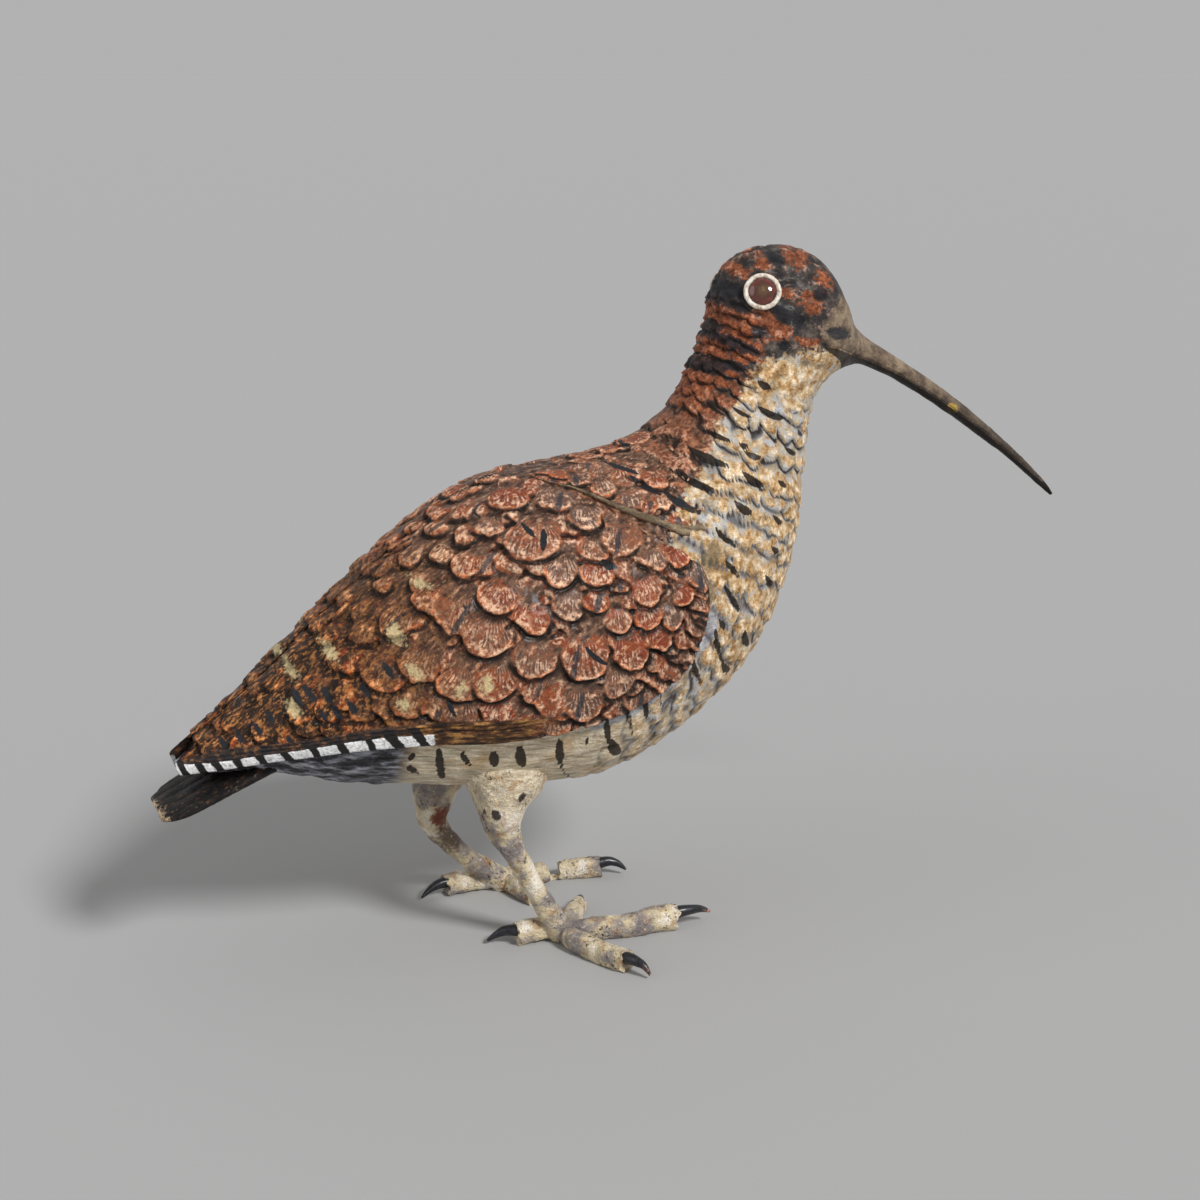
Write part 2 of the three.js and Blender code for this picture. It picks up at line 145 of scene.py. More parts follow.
def smooth(rows, at):
    """Rows of a table at fractional row numbers, on a Catmull-Rom curve through the rows."""
    rows = np.asarray(rows, float)
    at = np.asarray(at, float)
    last = len(rows) - 1
    i = np.clip(np.floor(at), 0, last - 1).astype(int)
    f = np.clip(at - i, 0, 1)[..., None]
    p, q, r, s = (rows[np.clip(i + k, 0, last)] for k in (-1, 0, 1, 2))
    return q + 0.5 * f * (r - p + f * (2 * p - 5 * q + 4 * r - s + f * (3 * (q - r) + s - p)))


def body_point(at, turn, lift=0.0):
    """A point of the body: slice number, turn from the back over the left side, and lift off it.
    On each slice the two half axes take cos(turn) and sin(turn), bent by the slice's fullness."""
    at, turn, lift = np.broadcast_arrays(np.asarray(at, float), turn, lift)
    back_x, back_z, front_x, front_z, half, full = np.moveaxis(smooth(SLICES, at), -1, 0)
    tall = np.hypot(back_x - front_x, back_z - front_z) / 2
    rise = bent(np.cos(turn), 2 / full)
    out = bent(np.sin(turn), 2 / full)
    slope_up = bent(rise, full - 1) / tall
    slope_out = bent(out, full - 1) / half
    steep = lift / np.hypot(slope_up, slope_out)
    along = (1 + rise + steep * slope_up / tall) / 2
    return np.stack([mix(front_x, back_x, along), half * out + steep * slope_out,
                     mix(front_z, back_z, along)], -1)


def row_number(lines, x, z, low=0.0, high=None):
    """Which line, as a fraction between two, passes through x, z: found by halving."""
    x, z = np.broadcast_arrays(np.asarray(x, float), np.asarray(z, float))
    low = np.full(x.shape, float(low))
    high = np.full(x.shape, float(len(lines) - 1 if high is None else high))
    for _ in range(26):
        middle = (low + high) / 2
        line = smooth(lines, middle)
        cross = ((line[..., 0] - line[..., 2]) * (z - line[..., 3])
                 - (line[..., 1] - line[..., 3]) * (x - line[..., 2]))
        low, high = np.where(cross < 0, middle, low), np.where(cross < 0, high, middle)
    return (low + high) / 2


def find_on_body(x, z, side, low=0.0, high=NECK_END):
    """Slice number and turn of the body's point that a side view shows at x, z."""
    at = row_number(SLICES, x, z, low, high)
    back_x, back_z, front_x, front_z, _, full = np.moveaxis(smooth(SLICES, at), -1, 0)
    length2 = (back_x - front_x) ** 2 + (back_z - front_z) ** 2
    along = ((x - front_x) * (back_x - front_x) + (z - front_z) * (back_z - front_z)) / length2
    rise = np.clip(2 * along - 1, -1, 1)
    return at, side * np.arccos(bent(rise, full / 2))


def seen_from_side(x, z, side, lift=0.0, low=0.0, high=NECK_END):
    """The body's point at x, z of a side view."""
    at, turn = find_on_body(x, z, side, low, high)
    return body_point(at, turn, lift)


def end_fade(patch, along):
    """1 over a patch's middle, falling towards its front and its tail end."""
    return ramp(along, -0.05, patch["fade"]) * ramp(1 - along, -0.05, patch["tail_fade"])


def patch_point(patch, down, along, side, lift):
    """A point of a patch: down from its upper to its lower edge, along from front to tail."""
    upper = smooth(patch["upper"], along * (len(patch["upper"]) - 1))
    lower = smooth(patch["lower"], along * (len(patch["lower"]) - 1))
    bow = patch["bow"] * 4 * down * (1 - down) * (1 - ramp(along, 0, 0.3))
    point = mix(upper, lower, np.asarray(down)[..., None])
    at, turn = find_on_body(point[..., 0] + bow, point[..., 1], side)
    placed = body_point(at, turn, lift * end_fade(patch, along))
    placed[..., 1] -= side * patch["crossing"]
    return placed


def noise(points, size, seed=0):
    """Lattice noise from -1 to 1: a hashed value at each corner of cubes of a size, eased between."""
    scaled = np.asarray(points, float) / size
    cell = np.floor(scaled).astype(np.int64)
    f = scaled - cell
    f = f * f * (3 - 2 * f)
    total = 0
    for corner in product((0, 1), repeat=3):
        i, j, k = np.moveaxis(cell + np.array(corner), -1, 0)
        h = (i * 73856093) ^ (j * 19349663) ^ (k * 83492791) ^ (seed * 26544357 + 977)
        h = ((h & 0x7FFFFFFF) ^ ((h >> 13) & 0x3FFFF)) * 1274126177 & 0x7FFFFFFF
        value = ((h >> 8) % 4096) / 4095
        weight = np.prod(np.where(corner, f, 1 - f), -1)
        total = total + value * weight
    return total * 2 - 1


def facing(points):
    """Unit normals of a grid of points, from the cross product of its two directions of change."""
    normal = np.cross(np.gradient(points, axis=0), np.gradient(points, axis=1))
    return normal / np.maximum(np.linalg.norm(normal, axis=-1, keepdims=True), 1e-9)


def proud_of(height):
    """How far each point of a grid stands above its surroundings: its height less a 1:2:1 average
    taken along both axes over steps of 1, 2, 3 and 4 cells."""
    mean = height
    for step in (1, 2, 3, 4):
        padded = np.pad(mean, step, mode="edge")
        mean = (padded[:-2 * step] + 2 * padded[step:-step] + padded[2 * step:]) / 4
        mean = (mean[:, :-2 * step] + 2 * mean[:, step:-step] + mean[:, 2 * step:]) / 4
    return height - mean


# meshes

EYE_BOXES = [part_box("right_eye"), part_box("left_eye")]
SHIFT = np.array([
    solid_box[1][0] / MM - SLICES[-1, 0],
    sum(corner[1] for box in EYE_BOXES for corner in box) / 4 / MM,
    0.0,
])
LOW, HIGH = (np.array(corner) for corner in solid_box)


def piece(name, points, faces, values, material, node):
    """A mesh of points (mm, as drawn) and faces, with one float attribute for each named value."""
    place = np.clip((points.reshape(-1, 3) + SHIFT) * MM, LOW, HIGH)
    corners = np.concatenate([f.ravel() for f in faces])
    sizes = np.concatenate([np.full(len(f), f.shape[1]) for f in faces])
    mesh = bpy.data.meshes.new(name)
    mesh.vertices.add(len(place))
    mesh.vertices.foreach_set("co", place.ravel())
    mesh.loops.add(len(corners))
    mesh.loops.foreach_set("vertex_index", corners)
    mesh.polygons.add(len(sizes))
    mesh.polygons.foreach_set("loop_start", np.concatenate([[0], np.cumsum(sizes)[:-1]]))
    mesh.polygons.foreach_set("use_smooth", np.ones(len(sizes), bool))
    mesh.update(calc_edges=True)
    for key, value in values.items():
        layer = mesh.attributes.new(key, "FLOAT", "POINT")
        layer.data.foreach_set("value", np.asarray(value, np.float32).ravel())
    mesh.materials.append(material)
    thing = bpy.data.objects.new(name, mesh)
    bpy.context.scene.collection.objects.link(thing)
    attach(thing, "root")
    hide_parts(node)
    return thing


def skin(rings):
    """Closes rings of points into a shell: quads between rings, a fan at each end.
    Turned so that its volume, the sum of its corners' triple products, is positive."""
    count, sides = rings.shape[:2]
    index = np.arange(count * sides).reshape(count, sides)
    over = np.roll(index, -1, axis=1)
    quads = np.stack([index[:-1], index[1:], over[1:], over[:-1]], -1).reshape(-1, 4)
    points = np.concatenate([rings.reshape(-1, 3), rings[:1].mean(1), rings[-1:].mean(1)])
    first, last = count * sides, count * sides + 1
    start = np.stack([np.full(sides, first), index[0], over[0]], -1)
    end = np.stack([np.full(sides, last), over[-1], index[-1]], -1)
    a, b, c, d = (points[quads[:, k]] for k in range(4))
    volume = np.einsum("ij,ij->", a, np.cross(b, c)) + np.einsum("ij,ij->", a, np.cross(c, d))
    if volume < 0:
        quads, start, end = quads[:, ::-1], start[:, ::-1], end[:, ::-1]
    return points, [quads, np.concatenate([start, end])]


def ends(value):
    """A grid of values with one more for each end cap's middle point."""
    return np.concatenate([value.ravel(), [value[0].mean(), value[-1].mean()]])


def shell(name, rings, values, material, node="figure"):
    """One piece from rings of points and values given on the same grid."""
    points, faces = skin(rings)
    return piece(name, points, faces, {k: ends(v) for k, v in values.items()}, material, node)


# carved feathers

def lay_feathers(points, normals, feathers, side, values):
    """Carves round-ended feathers over a grid, the last laid on top, and returns the raised height.

    Each feather is a disc of radius r on a tongue of root * r that narrows to its root. With s the
    distance past the disc's middle and t the distance across, edge is r - hypot(s, t) on the disc and
    half width - |t| on the tongue. Height climbs from root to tip, swells over the disc and has a
    rolled rim, and a furrow is cut round the tip, with painted shade in it and fainter past it. Barbs
    are a sine of the angle about a point near the root, so they spread like a fan. A feather's root
    melts into what lies under it. Every fourth feather gets a dark smear along its middle."""
    waver = [noise(points, size, seed) for size, seed in ((4.6, 11), (3.3, 12), (2.1, 13))]
    height = 0.35 * waver[0]
    for key in ("fan", "barb", "rim", "disc", "tone", "hollow_and_shade", "smear"):
        values[key] = np.full(height.shape, 0.2 if key == "tone" else 0.0)
    flat_normals = normals.reshape(-1, 3)
    for i, (x, z, r, angle, root, tone) in enumerate(feathers):
        aim = np.radians(angle)
        middle = seen_from_side(x, z, side, 4.0)
        run = unit(seen_from_side(x + np.cos(aim) * 2, z + np.sin(aim) * 2, side, 4.0) - middle)
        rel = points - middle
        out = flat_normals[np.argmin((rel ** 2).sum(-1))]
        s, t, off = rel @ run, rel @ np.cross(out, run), rel @ out
        far = np.hypot(s, t)
        turn = np.arctan2(t, s)
        lobe = r * (1.04 + 0.07 * np.sin(2 * turn + i) + 0.05 * np.sin(3 * turn + 2.3 * i))
        lobe = lobe + 0.75 * waver[i % 3]
        tongue = root * r
        width = lobe * mix(1, 0.75, ramp(-s, 0, tongue))
        edge = np.where(s > 0, lobe - far, np.minimum(width - np.abs(t), s + tongue))
        edge = np.where(np.abs(off) < r + 4, edge, -9)
        tip = ramp(s + tongue, 0, tongue + r)
        crisp = ease(s, -0.9 * r, 0.25 * r)
        inside = ease(edge, -0.2, mix(3.4, 0.6, crisp))
        disc = ease(s, -1.1 * r, -0.1 * r)
        ahead = ease(s / np.maximum(far, 0.1), -0.1, 0.7)
        hollow_and_shade = np.where(edge < 0.5, bump(edge + 0.7, 0.95), 0) * ahead
        # Painted shade: the carved furrow ahead of each tip is also painted dark, and a fainter band of
        # painted shade spreads wider past it.
        shade = np.maximum(hollow_and_shade, np.where(edge < 0.5, 0.6 * bump(edge + 0.5, 2.6), 0) * ahead)
        fan = np.arctan2(t, s + 1.5 * r) * r * 1.15 + 0.6 * waver[(i + 1) % 3] + 0.37 * i
        barb = ease(edge, 0.3, 1.6) * ease(s, -0.8 * r, 0.1 * r) * ease(waver[(i + 2) % 3], -0.5, 0.3)
        rim = bump(edge - 0.7, 0.6) * crisp * ease(waver[i % 3], -0.7, 0.4)
        swell = 0.5 * (1 - np.clip(far / r, 0, 1) ** 2) * disc
        top = mix(-0.5, 1.0, tip) + swell + 0.25 * rim + 0.17 * barb * np.sin(2 * np.pi * fan)
        height = mix(height - 0.55 * hollow_and_shade, top + 0.3 * waver[(i + 1) % 3], inside)
        values["hollow_and_shade"] = mix(np.maximum(values["hollow_and_shade"], shade), 0, inside)
        across = t + (np.sin(i * 5.3) * 0.4 + 0.3 * s / r) * r
        values["smear"] = mix(values["smear"], bump(across, 1.5) * disc * (i % 4 == 0), inside)
        values["fan"] = np.where(inside > 0.3, fan, values["fan"])
        own = 0.2 * np.sin(i * 12.9898)
        for key, value in (("barb", barb), ("rim", rim), ("disc", disc), ("tone", tone + own)):
            values[key] = mix(values[key], value, inside)
    return height


def flow(x, z):
    """The direction, in degrees of a side view, that the wing's feathers point at x, z."""
    return -97 + 0.5 * x - 0.3 * (z - 130)


def filling(patch, side, placed, radius, rows, columns, seed):
    """Feathers in staggered rows over a patch, where the placed ones leave it bare."""
    dice = np.random.default_rng(seed)
    made = []
    for row in range(rows):
        along = (np.arange(columns) + 0.5 * (row % 2) + 0.25) / columns
        along = np.clip(along + dice.uniform(-0.012, 0.012, columns), 0.01, 0.97)
        down = np.clip((row + 0.5 + dice.uniform(-0.2, 0.2, columns)) / rows, 0.02, 0.97)
        for x, _, z in patch_point(patch, down, along, side, 3.0):
            r, tone = radius * dice.uniform(0.85, 1.2), dice.uniform(0.2, 0.9)
            if all(np.hypot(x - f[0], z - f[1]) > 0.5 * f[2] for f in placed):
                made.append((x, z, r, flow(x, z), 1.6, tone))
    return made


def in_order(feathers):
    """Sorted as they are laid: the rear and low ones first, the front and high ones on top."""
    return sorted(feathers, key=lambda f: f[0] * 0.75 + f[1] * 0.66)


def turned_over(feathers, side):
    """The left side's own feathers: the right side's, each a little moved and turned."""
    if side < 0:
        return feathers
    return [(x + 0.9 * np.sin(2.1 * i), z + 0.9 * np.sin(3.7 * i), r * (1 + 0.07 * np.sin(1.3 * i)),
             angle + 4 * np.sin(2.9 * i), root, tone + 0.12 * np.sin(5.1 * i))
            for i, (x, z, r, angle, root, tone) in enumerate(feathers)]


def strokes(points, marks, side, high=NECK_END):
    """The largest of 2 - 2 distance / half width over brush strokes x, z, x, z, width. A stroke runs
    a little past its two points, tapers to both ends and sags. Distance is measured along the plane
    that touches the surface at the stroke's middle."""
    best = np.full(points.shape[:-1], -1.0)
    for x0, z0, x1, z1, width in marks:
        a, b = (seen_from_side(x, z, side, high=high) for x, z in ((x0, z0), (x1, z1)))
        foot, tip = (seen_from_side((x0 + x1) / 2, (z0 + z1) / 2, side, lift, high=high)
                     for lift in (0, 1))
        out = unit(tip - foot)
        run = (b - a) * 1.12
        rel = points - a + 0.05 * run
        off = rel @ out
        f = np.clip((rel @ run) / (run @ run), 0, 1)
        from_middle = (2 * f - 1) ** 2
        taper = mix(1, 0.35, from_middle)
        down = out * out[2] - [0, 0, 1]
        sag = 0.09 * np.linalg.norm(run) * down * (1 - from_middle[..., None])
        far = np.linalg.norm(rel - off[..., None] * out - f[..., None] * run - sag, axis=-1)
        field = np.where(np.abs(off) < 9, 2 - 2 * far / (0.85 * width * taper), -1)
        best = np.maximum(best, field)
    return best


def spots(points, marks, side):
    """The largest of 1 - radius over ellipses x, z, half length, half width, tilt in a side view."""
    best = np.full(points.shape[:-1], -1.0)
    for x, z, long, wide, tilt in marks:
        turn = np.radians(tilt)
        dx, dz = points[..., 0] - x, points[..., 2] - z
        u, v = dx * np.cos(turn) + dz * np.sin(turn), dz * np.cos(turn) - dx * np.sin(turn)
        field = 1 - np.hypot(u / long, v / wide)
        best = np.maximum(best, np.where(points[..., 1] * side > -1, field, -1))
    return best


WING_FEATHERS = [
    # middle x, z, radius, angle, root length in radii, tone from charcoal to brick
    (-22, 165, 7.1, -129, 1.6, .75), (-31, 157, 5.2, -120, 1.6, .50), (-18, 154, 9.3, -114, 1.4, .55),
    (-7, 165, 6.3, -102, 1.6, .35), (2, 160, 6.3, -99, 1.6, .30), (13, 153, 7.1, -98, 1.6, .60),
    (2, 150, 5.2, -102, 1.6, .60), (23, 147, 5.6, -93, 2.0, .30), (32, 147, 4.8, -74, 2.0, .90),
    (2, 144, 6.3, -99, 1.5, .80), (-11, 145, 6.3, -104, 1.6, .35), (18, 137, 6.0, -82, 1.8, 1.0),
    (32, 134, 4.1, -65, 1.6, 1.0), (-33, 137, 6.7, -116, 1.6, .60), (-23, 131, 6.3, -100, 2.0, .75),
    (-10, 134, 6.0, -99, 1.8, .45), (0, 135, 4.8, -96, 1.6, .90), (7, 128, 5.2, -86, 1.6, .45),
    (18, 129, 5.2, -80, 1.6, .95), (27, 128, 4.8, -68, 1.6, .40), (-47, 132, 7.8, -117, 1.6, .50),
    (-39, 126, 8.2, -109, 1.6, .60), (-23, 118, 7.4, -96, 1.5, .50), (-5, 118, 8.9, -86, 1.6, .80),
    (11, 118, 7.1, -77, 1.6, 1.0), (22, 121, 4.8, -73, 1.6, .80), (-48, 111, 7.1, -106, 1.6, .50),
    (-36, 111, 7.4, -98, 1.6, .55), (-19, 110, 8.9, -91, 1.5, .90), (-13, 104, 8.9, -85, 1.5, .95),
    (-48, 101, 6.7, -101, 1.6, .45), (-34, 100, 7.8, -91, 1.6, .90), (-26, 95, 6.7, -90, 1.6, .85),
    (-6, 102, 7.4, -81, 1.6, .30), (7, 108, 6.3, -76, 1.6, .50), (-55, 146, 6.0, -135, 2.6, .35),
    (-47, 148, 5.2, -138, 2.6, .50), (-41, 146, 5.6, -133, 2.4, .55), (-54, 135, 6.3, -123, 1.8, .60),
    (-66, 136, 4.5, -129, 2.0, .50), (-65, 128, 6.7, -127, 1.8, .50), (-75, 123, 6.0, -127, 1.8, .60),
    (-60, 117, 7.1, -122, 1.8, .50), (-71, 114, 8.2, -115, 1.6, .60), (-82, 116, 7.4, -126, 1.8, .70),
    (-64, 105, 6.3, -111, 1.8, .40), (-55, 103, 5.6, -105, 1.6, .70), (-95, 112, 5.6, -138, 2.4, .40),
    (-85, 123, 4.8, -136, 2.2, .50), (-95, 104, 6.3, -152, 3.2, .60), (-84, 105, 5.2, -155, 3.2, .50),
    (-117, 91, 4.8, -150, 5.0, .40), (-108, 103, 4.5, -139, 3.5, .45), (-22, 171, 5.2, -153, 2.0, .40),
    (-34, 164, 5.2, -146, 2.0, .90), (-43, 160, 4.5, -141, 2.0, .85), (-50, 155, 4.5, -140, 2.0, .80),
    (-57, 149, 4.1, -140, 2.0, .60), (-67, 141, 4.5, -136, 2.0, .50), (-76, 133, 4.8, -137, 2.0, .50),
    (-85, 125, 5.2, -138, 2.4, .80), (-46, 154, 4.8, -138, 2.0, .60), (-39, 154, 4.8, -132, 2.0, .60),
]
MANTLE_FEATHERS = [
    (6, 170, 5.0, -80, 1.2, .50), (12, 168, 5.4, -80, 1.2, .55), (20, 165, 5.4, -84, 1.2, .45),
    (25, 162, 3.6, -104, 1.6, .95), (31, 170.5, 5.4, -107, 1.6, .60), (33, 180, 6.2, -135, 1.8, .60),
    (23, 178, 5.2, -160, 1.6, .80), (38, 164, 4.2, -70, 1.4, .30), (14, 176, 5.0, -165, 1.6, .60),
    (3, 174, 4.6, -170, 1.6, .70),
]
MANTLE_MARKS = [(18, 174, 26, 170.5, 1.8), (28, 178, 36, 175.5, 1.8), (33, 166, 45, 158, 2.4),
                (23, 170, 30, 165.5, 1.6)]
BREAST_STROKES = [
    (71, 193, 80, 189, 1.8), (55, 194, 60, 190, 1.1), (62, 193, 67, 190, 1.1), (53, 185, 59, 182, 1.4),
    (62, 181, 65, 180, 1.3), (64, 178, 70, 176, 1.8), (81, 178, 90, 175, 1.8), (46, 179, 56, 174, 2.2),
    (62, 171, 70, 166, 2.2), (76, 167, 82, 165, 1.8), (39, 172, 50, 166, 2.2), (57, 162, 65, 157, 2.2),
    (73, 155, 80, 152, 2.0), (32, 166, 45, 159, 2.4), (49, 153, 64, 144, 2.4), (72, 144, 79, 142, 2.2),
    (51, 143, 64, 132, 2.4), (69, 134, 79, 128, 2.6), (51, 133, 63, 120, 2.6), (48, 122, 51, 119, 1.8),
    (60, 115, 67, 107, 2.5), (46, 118, 54, 102, 2.6), (52, 104, 60, 99, 2.4), (37, 110, 46, 95, 2.6),
    (24, 102, 31, 84, 2.5), (19, 99, 21, 89, 2.0), (12, 96, 18, 81, 2.3), (5, 91, 8, 81, 2.2),
    (-63, 79, -58, 73, 2.2), (-63, 84, -61, 81, 1.8), (-53, 84, -49, 70, 2.7), (-45, 83, -41, 76, 1.8),
    (-34, 82, -32, 75, 2.5), (-25, 83, -22, 74, 2.7), (-11, 84, -8, 73, 2.5), (-7, 71, 1, 62, 1.4),
    (-1, 84, 7, 68, 2.0), (9, 81, 14, 74, 2.9), (71, 202, 75, 200, 1.8),
]
HEAD_RUST = [
    (77, 243, 2.6, 2.8, 0), (90, 244, 4.6, 3.4, 0), (98, 236, 3.4, 3.4, -30), (82, 233, 5.1, 2.0, -25),
    (92, 229, 4.6, 3.4, -30), (69, 240, 2.8, 2.8, 0), (75, 224, 3.4, 3.4, 0), (79, 220, 5.1, 2.8, -20),
    (70, 224, 4.0, 2.6, -30), (63, 223, 2.3, 5.1, 25), (64, 220, 2.3, 4.6, 25),
    (67, 219, 3.4, 2.3, -20), (59, 214, 2.0, 3.4, 20), (60, 214, 2.3, 4.0, 20), (67, 211, 3.4, 2.0, -5),
    (91, 215, 5.1, 1.7, -5), (63, 226, 2.3, 4.0, 10), (55, 201, 2.6, 4.6, 15), (50, 194, 2.3, 5.1, -10),
    (52, 195, 2.8, 4.6, 25),
]
HEAD_BLACK = [
    (65, 232, 5.1, 6.8, 0), (68, 228, 4.6, 3.4, -20), (83, 225, 10.8, 4.0, -25),
    (72, 219, 3.4, 2.6, -20), (81, 214, 3.4, 2.0, -5), (65, 215, 8.5, 2.8, -25), (61, 220, 2.8, 3.4, 0),
    (65, 207, 10.2, 2.0, -8), (58, 206, 4.0, 2.8, 0), (72, 206, 2.3, 1.4, 0), (103, 217, 4.3, 2.0, -10),
    (96, 232, 3.4, 3.4, 0), (82, 244, 3.4, 3.4, 0),
]
WING_CREAM = [(-48, 109, 3.4, 2.6, 60), (-39, 110, 3.2, 3.6, 0), (-55, 141, 3.8, 2.0, -20),
              (-66, 126, 3.2, 3.4, 0), (-62, 115, 2.6, 3.6, 20), (-86, 118, 2.4, 3.2, 30),
              (-66, 104, 2.6, 2.6, 0), (-98, 111, 2.2, 3.4, 20), (-100, 101, 3.0, 3.6, 20)]
WING_BLACK = [(-33, 160, -29, 155, 1.4), (-20, 158, -17, 153, 1.6), (-14, 156, -16, 150, 1.6),
              (4, 146, 8, 144, 2.2), (-44, 134, -41, 128, 1.8), (-38, 132, -33, 126, 1.6),
              (-60, 119, -55, 111, 2.0), (-5, 120, 2, 114, 1.4), (-52, 105, -49, 99, 1.6),
              (-126, 84.5, -106, 89.5, 1.8), (-101, 91, -80, 97, 2.0), (-74, 97, -62, 93.5, 1.6)]
WING_BARS = [(-98, 104, 3.6, 1.5, -70), (-94, 105.5, 3.2, 1.4, -65), (-89.5, 106, 3.8, 1.6, -62),
             (-91, 99.5, 2.6, 1.2, -62), (-87, 101, 3.0, 1.3, -62), (-82.5, 103, 3.0, 1.3, -62),
             (-70, 115, 3.6, 1.3, -62), (-78, 108.5, 3.2, 1.3, -62), (-107, 97, 2.6, 1.3, -66),
             (-111, 93, 2.6, 1.2, -66), (-117, 90, 2.4, 1.2, -66), (-102, 91, 2.6, 1.2, -66),
             (-122, 87, 2.2, 1.1, -66), (-106, 89.5, 2.2, 1.1, -66)]


# paint

def linear(hex_colour):
    """A colour from its usual six digits, as seen on a screen, to linear light."""
    parts = [int(hex_colour[i:i + 2], 16) / 255 for i in (0, 2, 4)]
    return [p / 12.92 if p <= 0.04045 else ((p + 0.055) / 1.055) ** 2.4 for p in parts] + [1]


class Tree:
    """Short names for the nodes of one material or node group."""

    def __init__(self, tree):
        self.nodes = tree.nodes
        self.links = tree.links

    def add(self, kind, inputs=(), out=0, **settings):
        """A node with its settings and inputs. Gives the output that out names, or the whole node."""
        node = self.nodes.new(kind)
        for key, value in settings.items():
            setattr(node, key, value)
        for key, value in dict(inputs).items():
            self.feed(node.inputs[key], value)
        return node if out is None else node.outputs[out]

    def feed(self, socket, value):
        """Links a socket, or sets it to a number or a colour of six digits."""
        if isinstance(value, bpy.types.NodeSocket):
            self.links.new(value, socket)
        elif isinstance(value, str):
            socket.default_value = linear(value)
        else:
            socket.default_value = value

    def math(self, how, a, b=0.0, c=0.0):
        """One step of arithmetic on up to three values, by the operation's own name."""
        return self.add("ShaderNodeMath", {0: a, 1: b, 2: c}, operation=how)

    def value(self, name):
        """A piece's own attribute."""
        return self.add("ShaderNodeAttribute", out="Fac", attribute_name=name)

    def place(self, stretch=(1, 1, 1), lean=0):
        """Object coordinates in millimetres, leant by degrees about y, with features stretched."""
        spot = self.add("ShaderNodeTexCoord", out="Object")
        scale = [MM * s for s in stretch]
        return self.add("ShaderNodeMapping", {"Vector": spot, "Rotation": (0, np.radians(lean), 0),
                                              "Scale": scale}, vector_type="TEXTURE")

    def speckle(self, size, detail=3.0, stretch=(1, 1, 1), lean=0):
        """Noise from 0 to 1 with features of that size in millimetres."""
        return self.add("ShaderNodeTexNoise", {"Vector": self.place(stretch, lean), "Scale": 1 / size,
                                               "Detail": detail, "Roughness": 0.6}, out="Fac")

    def between(self, value, low, high, start=0.0, stop=1.0):
        """A value eased from start at low to stop at high."""
        return self.add("ShaderNodeMapRange", {"Value": value, "From Min": low, "From Max": high,
                                               "To Min": start, "To Max": stop},
                        interpolation_type="SMOOTHSTEP")

    def blend(self, a, b, share, how="MIX"):
        """Colour a with a share of colour b. The node's colour sockets are 6, 7 and output 2."""
        return self.add("ShaderNodeMix", {0: share, 6: a, 7: b}, 2, data_type="RGBA", blend_type=how)

    def colours(self, value, stops):
        """A run of colours, each at its own place from 0 to 1."""
        node = self.add("ShaderNodeValToRGB", {"Fac": value}, out=None)
        band = node.color_ramp
        while len(band.elements) < len(stops):
            band.elements.new(0.5)
        for element, (spot, colour) in zip(band.elements, stops):
            element.position = spot
            element.color = linear(colour)
        return node.outputs["Color"]

    def mottled(self, speckle, stops):
        """A run of colours over a speckle, given as its size, detail, stretch and lean."""
        return self.colours(self.speckle(*speckle), stops)

    def flecks(self, speckle, *ends):
        """Where a speckle, given as for mottled, rises past the first of the ends and is full at the
        second. Two more ends are the values it then goes from and to."""
        return self.between(self.speckle(*speckle), *ends)

    def laid(self, base, colour, *masks):
        """One colour over another, by the product of its masks."""
        mask = masks[0]
        for other in masks[1:]:
            mask = self.math("MULTIPLY", mask, other)
        return self.blend(base, colour, mask)

    def dabs(self, amount, size, low=0.35, high=0.75, reach=1.3, stretch=(1, 1, 1), lean=0):
        """Where loosely dabbed paint lands: amount plus noise, past low and full at high."""
        loose = self.math("MULTIPLY_ADD", self.speckle(size, 5, stretch, lean), reach, -0.5 * reach)
        return self.between(self.math("ADD", amount, loose), low, high)

    def shared(self, effect, inputs):
        """A shared effect's node, with its inputs."""
        return self.add("ShaderNodeGroup", inputs, out=None, node_tree=effect)

    def ragged(self, name, raggedness=1.0, softness=0.3):
        """The ragged painted edge of an attribute, above 0."""
        given = {"Field": self.value(name), "Raggedness": raggedness, "Softness": softness}
        return self.shared(RAGGED, given).outputs["Mask"]


def group(name, inputs, outputs, build):
    """A shared effect: build(tree, input sockets) returns the sockets for the outputs."""
    tree = bpy.data.node_groups.new(name, "ShaderNodeTree")
    kinds = {"value": "NodeSocketFloat", "colour": "NodeSocketColor"}
    for key, (kind, start) in inputs.items():
        socket = tree.interface.new_socket(key, in_out="INPUT", socket_type=kinds[kind])
        socket.default_value = linear(start) if kind == "colour" else start
    for key, kind in outputs.items():
        tree.interface.new_socket(key, in_out="OUTPUT", socket_type=kinds[kind])
    work = Tree(tree)
    source = work.add("NodeGroupInput", out=None)
    made = build(work, source.outputs)
    sink = work.add("NodeGroupOutput", out=None)
    for key, socket in made.items():
        work.feed(sink.inputs[key], socket)
    return tree


def ragged_build(tree, given):
    """A painted edge: the field plus noise, eased over a width."""
    rough = tree.math("SUBTRACT", tree.speckle(1.3, 5), 0.5)
    broad = tree.math("SUBTRACT", tree.speckle(4.5, 2), 0.5)
    both = tree.math("MULTIPLY", tree.math("MULTIPLY_ADD", rough, 1.6, broad), given["Raggedness"])
    field = tree.math("ADD", given["Field"], both)
    return {"Mask": tree.between(field, 0.0, given["Softness"])}


